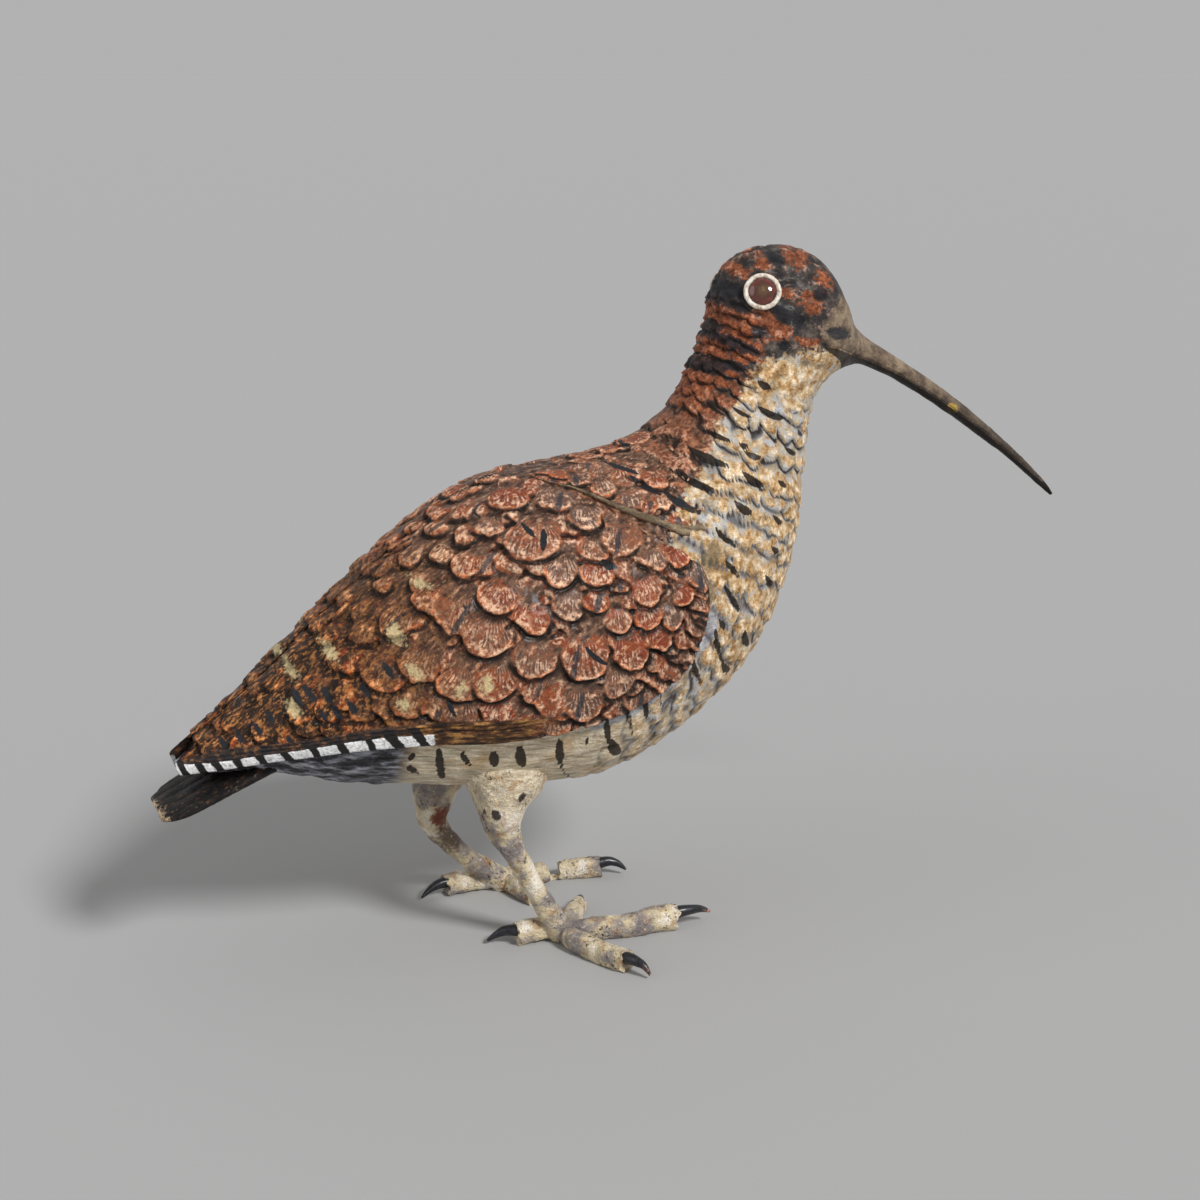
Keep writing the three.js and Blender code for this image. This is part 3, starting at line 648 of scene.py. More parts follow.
def aged_build(tree, given):
    """Old hand-laid paint: uneven coats, darker in the hollows, crests rubbed paler."""
    cloud = tree.flecks((7, 4), 0.3, 0.7)
    fine = tree.flecks((1.0, 5), 0.35, 0.68)
    light = tree.math("MULTIPLY_ADD", tree.math("ADD", cloud, fine), given["Variation"], 1.0)
    light = tree.math("SUBTRACT", light, given["Variation"])
    patchy = tree.flecks((1.4, 4), 0.36, 0.58)
    rubbed = tree.math("MULTIPLY", tree.between(given["Proud"], 0.04, 0.45), patchy)
    light = tree.math("MULTIPLY", light, tree.math("MULTIPLY_ADD", rubbed, 0.3, 1.0))
    deep = tree.between(given["Proud"], -0.03, -0.45)
    light = tree.math("MULTIPLY", light, tree.math("MULTIPLY_ADD", deep, -0.4, 1.0))
    tinted = tree.add("ShaderNodeHueSaturation", {"Color": given["Colour"], "Value": light})
    speck = tree.flecks((0.8, 5), 0.62, 0.72)
    colour = tree.blend(tinted, "2a221d", tree.math("MULTIPLY", speck, given["Dirt"]))
    height = tree.math("ADD", tree.math("MULTIPLY", tree.speckle(0.5, 5), 0.35),
                       tree.math("MULTIPLY", fine, 0.5))
    rough = tree.math("MULTIPLY_ADD", cloud, 0.25, 0.38)
    return {"Colour": colour, "Height": height, "Roughness": rough}


RAGGED = group("ragged_edge", {"Field": ("value", 0.0), "Raggedness": ("value", 1.0),
                               "Softness": ("value", 0.3)}, {"Mask": "value"}, ragged_build)
AGED = group("aged_paint", {"Colour": ("colour", "888888"), "Variation": ("value", 0.2),
                            "Dirt": ("value", 0.3), "Proud": ("value", 0.0)},
             {"Colour": "colour", "Height": "value", "Roughness": "value"}, aged_build)


def finish(tree, colour, relief=None, variation=0.2, dirt=0.3, depth=0.25, proud=0.0, rough=None,
           coat=0.05):
    """Ages the colour, and gives it and the fine relief (in millimetres) to the paint's shader."""
    aged = tree.shared(AGED, {"Colour": colour, "Variation": variation, "Dirt": dirt, "Proud": proud})
    height = tree.math("MULTIPLY", aged.outputs["Height"], depth)
    if relief is not None:
        height = tree.math("ADD", height, relief)
    bumps = tree.add("ShaderNodeBump", {"Height": height, "Distance": MM, "Strength": 1.0}, "Normal")
    shader = tree.nodes["Principled BSDF"]
    tree.feed(shader.inputs["Base Color"], aged.outputs["Colour"])
    tree.feed(shader.inputs["Roughness"], aged.outputs["Roughness"] if rough is None else rough)
    tree.feed(shader.inputs["Normal"], bumps)
    # Old paint shines little.
    shader.inputs["Specular IOR Level"].default_value = 0.2
    shader.inputs["Coat Weight"].default_value = coat
    shader.inputs["Coat Roughness"].default_value = 0.25


def material(name):
    """A new material, and the short names for its nodes."""
    made = bpy.data.materials.new(name)
    made.use_nodes = True
    return made, Tree(made.node_tree)


def feather_coat(tree):
    """Wing and mantle paint: a streaked brown ground, rust on the feathers' ends, broken dark lines
    between the barbs, peach dry brush on their crests, rust rims and black-brown painted shade round
    the feathers' tips. Gives the colour and its relief."""
    tone, rim, disc, fan, barb, hollow_and_shade, smear, proud = (
        tree.value(k) for k in ("tone", "rim", "disc", "fan", "barb", "hollow_and_shade", "smear", "proud"))
    streak = tree.speckle(1.3, 5, (2.6, 1, 1), -38)
    streaked = tree.math("MULTIPLY_ADD", tree.speckle(5, 3), 0.5, tree.math("MULTIPLY", streak, 0.5))
    ground = tree.colours(streaked, [(0.38, "33231c"), (0.47, "5a4134"), (0.56, "83614d"),
                                     (0.68, "75685f")])
    warm = tree.math("MULTIPLY_ADD", tree.speckle(3.0, 4), 1.3, tree.math("SUBTRACT", tone, 0.65))
    rust = tree.colours(warm, [(0.0, "64504a"), (0.3, "765241"), (0.5, "8c5a41"), (0.74, "984f2e"),
                               (1.0, "8a3a1d")])
    reach = tree.math("MULTIPLY_ADD", disc, 0.62, 0.16)
    base = tree.laid(ground, rust, tree.dabs(reach, 2.6, 0.3, 0.75, 2.0))
    unsteady = tree.math("MULTIPLY", tree.speckle(2.2, 3), 5.0)
    wave = tree.math("SINE", tree.math("MULTIPLY_ADD", fan, 2 * np.pi, unsteady))
    loose = tree.flecks((1.6, 5), 0.4, 0.6)
    broken = tree.flecks((3.6, 3), 0.4, 0.56)
    base = tree.laid(base, "3b2d28", tree.between(wave, 0.0, -0.8), barb, broken, 0.75)
    base = tree.laid(base, "f7d3b8", tree.between(wave, 0.1, 0.8), barb, loose, 0.9)
    base = tree.laid(base, "dfab88", tree.between(streak, 0.54, 0.63), loose, 0.75)
    base = tree.laid(base, "f8cba8", tree.between(proud, 0.06, 0.3), loose, 0.85)
    base = tree.laid(base, "c86a34", rim, tree.flecks((1.8, 4), 0.38, 0.54), 0.85)
    base = tree.laid(base, "e3b595", rim, tree.flecks((1.1, 4), 0.55, 0.64), 0.8)
    base = tree.laid(base, "33363d", tree.dabs(smear, 2.4, 0.5, 0.8, 1.6), 0.85)
    # Painted shade: black-brown, in patches, in the furrows round the feathers' tips.
    tip_shade_patches = tree.flecks((5, 3), 0.3, 0.55, 0.4, 0.95)
    base = tree.laid(base, "170c07", tree.between(hollow_and_shade, 0.05, 0.8), tip_shade_patches)
    relief = tree.math("MULTIPLY", tree.math("MULTIPLY", wave, barb), 0.07)
    relief = tree.math("MULTIPLY_ADD", streak, 0.15, relief)
    return base, relief, proud


def wing_paint():
    """The feathers' coat, sooty and ochre to the rear, cream and black marks, and the barred edge."""
    made, tree = material("wing_paint")
    base, relief, proud = feather_coat(tree)
    spot = tree.add("ShaderNodeSeparateXYZ", {0: tree.place()}, out=0)
    rear = tree.between(spot, -60, -125)
    base = tree.blend(base, tree.blend(base, "ffd7a0", 1.0, "MULTIPLY"), rear)
    ochre = tree.flecks((1.4, 5, (1.5, 1, 1), -38), 0.52, 0.62)
    sooty = tree.flecks((2.8, 5, (1.6, 1, 1), -38), 0.4, 0.52)
    base = tree.laid(base, "22160f", sooty, tree.between(spot, -60, -128, 0.0, 0.95))
    base = tree.laid(base, "b3773f", ochre, rear, 0.8)
    base = tree.laid(base, "cdb88a", tree.ragged("cream", 1.5, 0.6), 0.9)
    base = tree.laid(base, "23252a", tree.ragged("black", 0.8, 0.35))
    gold = tree.mottled((1.6, 5, (4, 1, 1)), [(0.4, "1e1510"), (0.53, "5c3b21"), (0.64, "ae7f48")])
    dark = tree.mottled((2.0, 5, (2, 1, 1)), [(0.42, "232227"), (0.55, "46352b"), (0.68, "8f6240")])
    base = tree.laid(base, tree.blend(gold, dark, tree.value("rear")), tree.value("margin"))
    white = tree.mottled((1.2, 5), [(0.3, "a9a8ac"), (0.44, "e9e7e5"), (0.56, "ffffff")])
    base = tree.laid(base, white, tree.ragged("white", 0.5, 0.25))
    base = tree.laid(base, "201d1d", tree.ragged("bars", 0.45, 0.25))
    finish(tree, base, relief, variation=0.24, dirt=0.25, depth=0.45, proud=proud, coat=0.14)
    return made


def mantle_paint():
    """The feathers' coat with black marks and an olive ledge."""
    made, tree = material("mantle_paint")
    base, relief, proud = feather_coat(tree)
    base = tree.laid(base, "23252a", tree.ragged("black", 0.8, 0.35))
    olive = tree.mottled((2.0, 5, (3, 1, 1), 25), [(0.35, "564836"), (0.5, "7b6a52"), (0.65, "9c8b70")])
    base = tree.laid(base, olive, tree.ragged("ledge", 1.2, 0.6))
    finish(tree, base, relief, variation=0.24, dirt=0.25, depth=0.45, proud=proud, coat=0.1)
    return made


def pale_coat(tree):
    """The underside's brushed cream-grey, shared by the flank and the thighs."""
    streaks = tree.mottled((1.0, 5, (8, 1, 1.2), 6), [(0.3, "a39178"), (0.43, "ccb99b"),
                                                      (0.56, "eadbbf"), (0.7, "fdf3de")])
    warm = tree.flecks((9, 3), 0.5, 0.66)
    return tree.blend(streaks, "cda670", tree.math("MULTIPLY", warm, 0.5))


def body_paint():
    """Head, breast, underside and bill, each over the last by the fields that make_body gives."""
    made, tree = material("body_paint")
    crest, groove, own, proud, shoulder, nape = (
        tree.value(k) for k in ("crest", "groove", "own", "proud", "shoulder", "nape"))
    # Head and nape: charcoal, with rust dabbed on the tufts.
    head = tree.mottled((3.0, 5), [(0.32, "272629"), (0.48, "3e3836"), (0.62, "5d534c"),
                                   (0.74, "746a62")])
    rust = tree.mottled((1.5, 5), [(0.3, "5d3220"), (0.46, "8a492b"), (0.6, "a9623c"),
                                   (0.75, "cf9c7a")])
    brown = tree.mottled((2.4, 5), [(0.36, "291c17"), (0.47, "523a2e"), (0.58, "80604b"),
                                    (0.7, "b08b74")])
    head = tree.blend(head, brown, shoulder)
    head = tree.laid(head, rust, tree.ragged("rust", 2.2, 0.6), 0.92)
    rubbed = tree.math("MULTIPLY", tree.between(proud, 0.1, 0.4), tree.flecks((1.5, 5), 0.46, 0.58))
    head = tree.laid(head, "dcb196", rubbed, tree.math("MULTIPLY_ADD", shoulder, 0.5, 0.35))
    tufts = tree.math("ADD", tree.math("MULTIPLY", crest, 0.55), tree.math("MULTIPLY", own, 0.35))
    dabbed = tree.dabs(tufts, 2.0, 0.3, 0.7, 1.5, (2, 1, 1), 30)
    head = tree.laid(head, rust, dabbed, nape, tree.math("MULTIPLY_ADD", shoulder, -0.5, 1.0))
    dry = tree.flecks((2.0, 5, (2.5, 1, 1), 30), 0.53, 0.62)
    head = tree.laid(head, "c98a66", dry, tree.math("MULTIPLY", crest, shoulder), 0.7)
    head = tree.laid(head, "222227", tree.ragged("dark", 0.9, 0.4), 0.92)
    # Breast: ochre-cream dabs over grey tan, with blue-grey left in the furrows and dark brown painted
    # shade in their depths.
    tan = tree.mottled((6.0, 3), [(0.36, "9b8a74"), (0.46, "bdad95"), (0.54, "c0b8ad"),
                                  (0.64, "bbbbbe")])
    ochre = tree.mottled((2.8, 5), [(0.34, "8d6a3f"), (0.44, "bb9465"), (0.54, "d6b88f"),
                                    (0.66, "f4e3ca")])
    lumps = tree.math("ADD", tree.math("MULTIPLY", crest, 0.45), tree.math("MULTIPLY", own, 0.42))
    lumps = tree.math("ADD", lumps, tree.value("ochre"))
    breast = tree.laid(tan, ochre, tree.dabs(lumps, 3.6, 0.4, 0.65, 2.2))
    breast = tree.laid(breast, "9da0a8", tree.dabs(groove, 4.0, 0.3, 0.7, 1.2), 0.8)
    # Painted shade: dark brown in the deepest part of the breast's furrows, in patches.
    furrow_shade_patches = tree.flecks((7, 3), 0.42, 0.54)
    breast = tree.laid(breast, "4e3a26", tree.between(groove, 0.5, 0.95), furrow_shade_patches, 0.85)
    breast = tree.laid(breast, "7d6c50", tree.ragged("olive", 1.0, 0.5), 0.85)
    breast = tree.laid(breast, "6a4a2e", tree.flecks((1.7, 4), 0.67, 0.73), 0.7)
    breast = tree.blend(breast, pale_coat(tree), tree.value("flank"))
    slate = tree.mottled((2.5, 4, (3, 1, 1)), [(0.35, "83858d"), (0.5, "a9abb1"), (0.65, "c3c3c6")])
    breast = tree.laid(breast, slate, tree.dabs(tree.value("blue"), 3.5, 0.3, 0.7, 0.9), 0.9)
    # Vent: grey-white and blue-grey paint with charcoal, its dark tones partly painted shade beneath
    # the body.
    vent = tree.mottled((2.8, 5, (3, 1, 1)), [(0.34, "1d1c1f"), (0.47, "4b4b50"), (0.58, "9596a0"),
                                              (0.7, "c3c3c8")])
    breast = tree.blend(breast, vent, tree.value("vent"))
    colour = tree.blend(head, breast, tree.ragged("cream", 7.0, 3.0))
    colour = tree.laid(colour, "2b2320", tree.between(groove, 0.3, 0.9), nape, 0.8)
    colour = tree.laid(colour, "211812", tree.ragged("black", 0.7, 0.35), 0.96)
    # Bill: taupe horn, darker to its tip, with painted shadow on the lower mandible and under the
    # mouth.
    horn = tree.mottled((4.5, 4), [(0.34, "5a4c42"), (0.48, "7d6a58"), (0.62, "9a8770")])
    horn = tree.blend(horn, "37322f", tree.between(tree.value("bill"), 22, 75, 0.0, 0.75))
    colour = tree.blend(colour, horn, tree.ragged("bill", 4.0, 1.2))
    colour = tree.laid(colour, "2e3036", tree.ragged("lore", 0.7, 0.3), 0.9)
    colour = tree.laid(colour, "c9a452", tree.ragged("chip", 0.6, 0.3))
    # Painted shadow over the lower mandible and under the mouth's line, down to the chin's line.
    colour = tree.laid(colour, "1e1815", tree.ragged("under", 0.5, 0.4), 0.93)
    finish(tree, colour, variation=0.2, dirt=0.35, depth=0.45, proud=proud, coat=0.08)
    return made


def leg_paint():
    """Speckled cream-grey, dull and worn bare at the left knee."""
    made, tree = material("leg_paint")
    colour = tree.mottled((11, 5), [(0.38, "8e8582"), (0.46, "b3a79b"), (0.52, "dcc9a3"),
                                    (0.64, "f6ecdc")])
    colour = tree.blend(colour, pale_coat(tree), tree.value("thigh"))
    colour = tree.laid(colour, "a9763f", tree.flecks((5, 4), 0.53, 0.66), 0.55)
    colour = tree.laid(colour, "665345", tree.ragged("dull", 1.0, 0.6), 0.85)
    grime = tree.flecks((9, 3), 0.46, 0.6)
    colour = tree.laid(colour, "2f241b", grime, tree.flecks((1.5, 5), 0.54, 0.62), 0.85)
    colour = tree.laid(colour, "f0e7d8", tree.flecks((1.3, 5), 0.6, 0.68), 0.7)
    colour = tree.laid(colour, "7f3a22", tree.ragged("bare", 0.8, 0.4), 0.92)
    colour = tree.laid(colour, "211812", tree.ragged("black", 0.7, 0.35), 0.95)
    lumps = tree.math("MULTIPLY", tree.speckle(1.8, 4), 0.8)
    finish(tree, colour, lumps, variation=0.16, dirt=0.4, depth=0.6, coat=0.08)
    return made


def claw_paint():
    """Glossy black, worn through at two tips."""
    made, tree = material("claw_paint")
    black = tree.mottled((1.2, 4), [(0.3, "101115"), (0.6, "26272d"), (0.8, "4a4b50")])
    worn = tree.mottled((0.9, 4), [(0.3, "6a2d1c"), (0.55, "a87a63"), (0.75, "e0d3c2")])
    colour = tree.blend(black, worn, tree.ragged("worn", 0.6, 0.3))
    finish(tree, colour, variation=0.1, dirt=0.1, depth=0.12, rough=0.3, coat=0.5)
    return made


def tail_paint():
    """Streaked black-brown, worn pale at the end."""
    made, tree = material("tail_paint")
    colour = tree.mottled((1.8, 5, (2, 1, 1), -22), [(0.35, "0d0d0f"), (0.54, "1c1716"),
                                                     (0.66, "432d21"), (0.8, "8a6747")])
    colour = tree.blend(colour, "b9a284", tree.ragged("worn", 1.2, 0.5))
    finish(tree, colour, variation=0.15, dirt=0.3, depth=0.35)
    return made


def ring_paint():
    """Aged cream."""
    made, tree = material("eye_ring_paint")
    colour = tree.mottled((1.5, 4), [(0.3, "a8917c"), (0.5, "e2d6c6"), (0.7, "f2ece2")])
    finish(tree, colour, variation=0.08, dirt=0.25, depth=0.2, coat=0.2)
    return made


def eye_glass():
    """Brown glass: spotted tan under the middle, a red-brown rim."""
    made, tree = material("eye_glass")
    out = tree.value("out")
    spotted = tree.math("ADD", out, tree.math("MULTIPLY_ADD", tree.speckle(1.3, 4), 0.9, -0.4))
    colour = tree.colours(spotted, [(0.0, "8a6c4a"), (0.18, "5c4228"), (0.45, "4c3018"),
                                    (0.66, "4a1d0e"), (0.88, "6a2212"), (1.0, "2a0c08")])
    shader = tree.nodes["Principled BSDF"]
    tree.feed(shader.inputs["Base Color"], colour)
    # Polished, under a clear coat.
    shader.inputs["Roughness"].default_value = 0.12
    shader.inputs["Coat Weight"].default_value = 1.0
    shader.inputs["Coat Roughness"].default_value = 0.02
    return made


WING_PAINT = wing_paint()
MANTLE_PAINT = mantle_paint()
BODY_PAINT = body_paint()
LEG_PAINT = leg_paint()
CLAW_PAINT = claw_paint()
TAIL_PAINT = tail_paint()
RING_PAINT = ring_paint()
EYE_GLASS = eye_glass()


# body, neck, head and bill

# How many rows of small feathers there are for each line of FEATHER_ROWS.
ROW_SPLIT = 1.4


def small_feathers(points, around, rows, seed):
    """Shingles of small feathers. rows is the row number at each point, rising to the head, and
    around its share of the way round. A row's tips reach down by the round top of a circle, and each
    row lies on the one below it. Gives the height, crest (1 on a feather, 0 at its edge), groove
    (1 along the edges) and each feather's own chance value."""
    wave = noise(points, 9, seed + 2)
    loose = noise(points, 13, seed + 1)
    lump = noise(points, 3.5, seed + 3)

    def row_tip(k):
        """Where row k's tips end, with the round of each lobe and the feather's chance value."""
        count = np.round(np.interp(k / ROW_SPLIT, [0, 8, 13, 22], [25, 24, 18, 14]))
        shift = 0.5 * (k % 2) + 0.35 * np.sin(k * 7.3 + seed)
        f = around * count + shift + 0.75 * wave
        number = np.floor(f)
        own = np.modf(np.abs(np.sin(k * 12.9898 + (number % count) * 78.233)) * 43758.5453)[0]
        lobe = np.sqrt(np.maximum(0, 1 - (2 * (f - number) - 1) ** 2))
        return k + 0.2 * lump - (0.5 + 0.25 * loose + 0.45 * (own - 0.5)) * lobe, lobe, own

    def standing(past_tip, lobe):
        """How high a row stands: falling from its tips up to its roots, higher in mid feather."""
        return np.clip(1 - past_tip / 1.4, 0, 1) * mix(0.5, 1, lobe)

    under = np.floor(rows)
    tip_low, lobe_low, own_low = row_tip(under)
    tip_high, lobe_high, own_high = row_tip(under + 1)
    top = rows > tip_high
    share = ease(rows - tip_high, 0.0, 0.13)
    past = np.where(top, rows - tip_high, rows - tip_low)
    lobe = np.where(top, lobe_high, lobe_low)
    height = mix(standing(rows - tip_low, lobe_low), standing(rows - tip_high, lobe_high), share)
    crest = ease(past, 0.03, 0.16) * ease(lobe, 0.1, 0.6) * (1 - 0.75 * ease(past, 0.4, 0.95))
    gap = np.minimum(np.where(top, 9, tip_high - rows), np.abs(rows - tip_low) + 0.12)
    return height, crest, bump(gap - 0.06, 0.13), np.where(top, own_high, own_low)


# Lines of the side view, each as places along one axis and what is read off there on the other.
# The breast's pale paint: the x it reaches back to at a height, and the height it reaches at an x.
PALE_BACK = ([120, 150, 163, 170, 176, 182, 190, 195, 202, 208],
             [22, 28, 34, 42, 48, 52, 57, 61, 66, 68])
PALE_TOP = ([60, 69, 76, 88, 104], [207, 208, 211, 213, 213])
# The wing: its lower edge's height at an x, and its front edge's x at a height.
WING_EDGE = ([-138, -102, -60, -33, -8, 14, 31, 40, 44], [79, 87, 88, 87.5, 90, 97, 106, 118, 130])
WING_FRONT = ([100, 106, 119, 142, 150], [26, 32, 41, 44, 40])
# The head: the heights of the mouth's line and of the lower edge of the chin's painted shadow at an x,
# and the x where the bill's horn begins at a height.
MOUTH = ([97.5, 104.8, 110.5, 124, 138, 156, 173, 189, 203],
         [213, 211.3, 209.2, 204.6, 198.2, 187.6, 176.4, 164, 152.8])
CHIN_SHADOW = ([96, 107, 113], [213, 206.5, 200])
BILL_BACK = ([196, 209, 213.7, 218, 223.4, 229, 236, 246], [113, 110, 97.2, 95.5, 96.5, 104, 111, 122])
# Rings along the body: from slice, to slice and how many, closest on the breast. Points in a ring.
BODY_RINGS = [(0, 5, 55), (5, 9, 75), (9, 14, 175), (14, 21, 118), (21, 30, 94)]
BODY_SIDES = 184
# Lumps on each side where the mantle's front end and the wing's shoulder meet the breast: x, z,
# height, width.
SHOULDER_LUMPS = [(42.7, 175, 1.3, 4), (43, 133, 1.5, 4.5)]
OLIVE_PATCHES = [(42.5, 132.5, 4.0, 6.5, 0), (45, 145, 4.5, 7.0, -30)]
LORE_PATCH = [(104, 217.2, 6.5, 2.6, -12)]
BILL_CHIP = [(160.5, 184.6, 3.4, 1.8, -40)]


def make_body():
    """Body, neck, head and bill: body_point on a grid of slice number and turn, moved along its
    normals by the small feathers, by noise for tufts, vent and flank, and by a bell-shaped slit along
    the mouth. Up to the neck the points are closest along the middle of breast and belly. The
    paint's fields are shares eased over places and heights, distances from lines of the side view,
    and marks."""
    spans = [np.linspace(start, stop, count, endpoint=False) for start, stop, count in BODY_RINGS]
    at = np.concatenate(spans + [[len(SLICES) - 1.0]])[:, None]
    share = np.linspace(0, 1, BODY_SIDES, endpoint=False)[None, :]
    closer = 0.6 * (1 - ease(at, 10, 14))
    turn = 2 * np.pi * share + closer * np.sin(2 * np.pi * share)
    points = body_point(at, turn)
    x, y, z = np.moveaxis(points, -1, 0)
    doubled = np.concatenate([points[:, -2:], points, points[:, :2]], axis=1)
    normals = facing(doubled)[:, 2:-2]
    outward = points - points.mean(axis=1, keepdims=True)
    normals = normals * np.where((normals * outward).sum(-1, keepdims=True) < 0, -1, 1)
    steeper = 0.32 * np.clip(84 - x, 0, 40) * ease(z, 172, 196)
    rows = row_number(FEATHER_ROWS, x, z - steeper) * ROW_SPLIT
    height, crest, groove, own = small_feathers(points, turn / (2 * np.pi), rows, seed=4)
    # Feathers stand on breast, neck and nape; flank, vent, face and bill have their own surfaces.
    face = ease(x + 0.4 * (z - 205), 76, 88) * ease(z, 198, 205)
    throat = ease(x - 0.2 * (z - 195), 62, 74) * ease(z, 186, 198)
    carved = ease(x, -8, 14) * (1 - face) * (1 - 0.75 * throat) * (1 - ease(z, 226, 236))
    rear_neck = ease(z, 165, 180) * (1 - ease(x + 0.5 * (200 - z), 62, 74))
    lumps = noise(points, 5.0, 1) + 0.8 * noise(points, 2.4, 2)
    tufts = noise(points @ [[0.5, 0, 0.3], [0, 1, 0], [-0.3, 0, 0.9]], 2.2, 21)
    head = ease(z, 190, 206) * (1 - ease(x, 96, 104))
    relief = carved * (mix(1.15, 1.4, rear_neck) * height - 0.5 * groove + 0.33 * lumps)
    relief += 0.8 * head * (tufts - 0.5) + (1 - carved) * 0.2 * lumps
    vent = ease(-x, 58, 70) * ease(88 - z, 0, 8)
    relief += vent * (1.1 * noise(points * [0.5, 1, 1], 5, 8) + 0.5 * noise(points, 2.5, 9))
    flank = (1 - ease(x, 0, 22)) * (1 - vent)
    relief += flank * 0.3 * noise(points * [0.2, 1, 1], 1.8, 10)
    on_bill = ease(at, BILL_START, 24)
    relief = relief * (1 - 0.8 * on_bill) + 0.12 * on_bill * noise(points, 2.5, 12)
    mouth = np.interp(x, *MOUTH)
    slit = bump(z - mouth, 0.45) * ease(x, 97, 101) * (1 - ease(x, 196, 204))
    relief -= 0.5 * slit * mix(1, 0.5, on_bill)
    for lump_x, lump_z, tall, wide in SHOULDER_LUMPS:
        for side in (-1, 1):
            far = np.linalg.norm(points - seen_from_side(lump_x, lump_z, side), axis=-1)
            relief += tall * bump(far, wide)
    shaped = points + normals * relief[..., None]
    pale = np.minimum(np.interp(x, *PALE_TOP) - z, x - np.interp(z, *PALE_BACK))
    below = np.interp(x, *WING_EDGE) - z
    near_wing = np.where(z > 112, x - np.interp(z, *WING_FRONT), below)

    def both(marks, look, **reach):
        """Marks on the right side and, as in a mirror, on the left."""
        right = look(points, marks, -1, **reach)
        left = look(points, marks, 1, **reach)
        return np.where(y < 0, right, left)

    ochre_low = 0.25 * ease(x + 0.5 * (z - 100), 30, 70) * (1 - ease(z, 140, 175))
    values = {
        "crest": crest * carved, "groove": groove * carved, "own": own, "proud": proud_of(relief),
        "cream": np.maximum(pale, np.where(x < 30, below + 4, -99)),
        "nape": (1 - face) * ease(z, 150, 170) * (1 - 0.85 * ease(z, 222, 232)),
        "rust": 0.3 + both(HEAD_RUST, spots), "dark": both(HEAD_BLACK, spots),
        "black": both(BREAST_STROKES, strokes, high=16),
        "blue": (1 - ease(near_wing, 3, 9)) * ease(x, -12, 6) * (1 - ease(z, 118, 136)),
        "olive": both(OLIVE_PATCHES, spots),
        "shoulder": 1 - ease(z, 186, 204),
        "ochre": ochre_low + 0.45 * ease(z, 190, 201),
        "flank": 1 - ease(x, 0, 30), "vent": ease(-x, 58, 68),
        "bill": np.where(z > mouth, x - np.interp(z, *BILL_BACK), (x - 113) * 2),
        "lore": both(LORE_PATCH, spots),
        "chip": both(BILL_CHIP, spots),
        # Painted shadow below the mouth's line: on the bill, and down to the chin's shadow edge.
        "under": np.minimum(mouth - z, np.where(x < 113, z - np.interp(x, *CHIN_SHADOW), 9)),
    }
    return shell("body", shaped, values, BODY_PAINT)


# wings and mantle

def patch_grid(patch, side, columns, rows, fineness=400):
    """A grid over a patch, its rows evenly spaced along each column's true length, which is summed
    over that many fine steps."""
    along = np.linspace(0, 1, columns)[:, None]
    fine = np.linspace(0, 1, fineness)[None, :]
    rough = patch_point(patch, *np.broadcast_arrays(fine, along), side, 3.0)
    steps = np.linalg.norm(np.diff(rough, axis=1), axis=-1)
    length = np.concatenate([np.zeros((columns, 1)), np.cumsum(steps, axis=1)], axis=1)
    share = np.linspace(0, 1, rows)
    down = np.stack([np.interp(share * run[-1], run, fine[0]) for run in length])
    return down, np.broadcast_to(along, down.shape)


def patch_shell(name, patch, side, columns, rows, raise_it, paint):
    """A patch as a shell: its grid raised along the normals, with both long edges turned down into
    the body. raise_it gives the paint's values and the height."""
    down, along = patch_grid(patch, side, columns, rows)
    thick = patch["thick"] * mix(patch["root_share"], 1, ramp(down, 0, 0.3))
    points = patch_point(patch, down, along, side, thick)
    normals = facing(points)
    normals *= np.where(normals[..., 1:2] * side + normals[..., 2:3] * 0.5 < 0, -1, 1)
    values, height = raise_it(points, normals, down, side)
    fade = end_fade(patch, along)
    shaped = points + normals * (height * fade)[..., None]
    inner = [patch_point(patch, np.full(columns, end), along[:, 0], side, -patch["sunk"])[:, None]
             for end in (0.0, 1.0)]
    rings = np.concatenate([inner[0], shaped, inner[1]], axis=1)
    padded = {k: np.concatenate([v[:, :1], v, v[:, -1:]], axis=1) for k, v in values.items()}
    return shell(name, rings, padded, paint)


# Columns and rows of the grids over a wing and a mantle.
WING_GRID = (440, 215)
MANTLE_GRID = (170, 120)
# The x of the bars across the wing's white edge, of two longer wedges in front, and where it starts
# and ends.
EDGE_BARS = (-135, -129.5, -124.5, -118, -111, -103, -94.5, -86, -77)
EDGE_WEDGES = (-69, -60.5)
WHITE_FRONT = -56
WHITE_REAR = -137.2
# Widths of that edge and of the quills over it, in front and at the tail.
EDGE_WIDTH = (6.0, 4.2)
QUILLS_WIDTH = (4.6, 5.2)


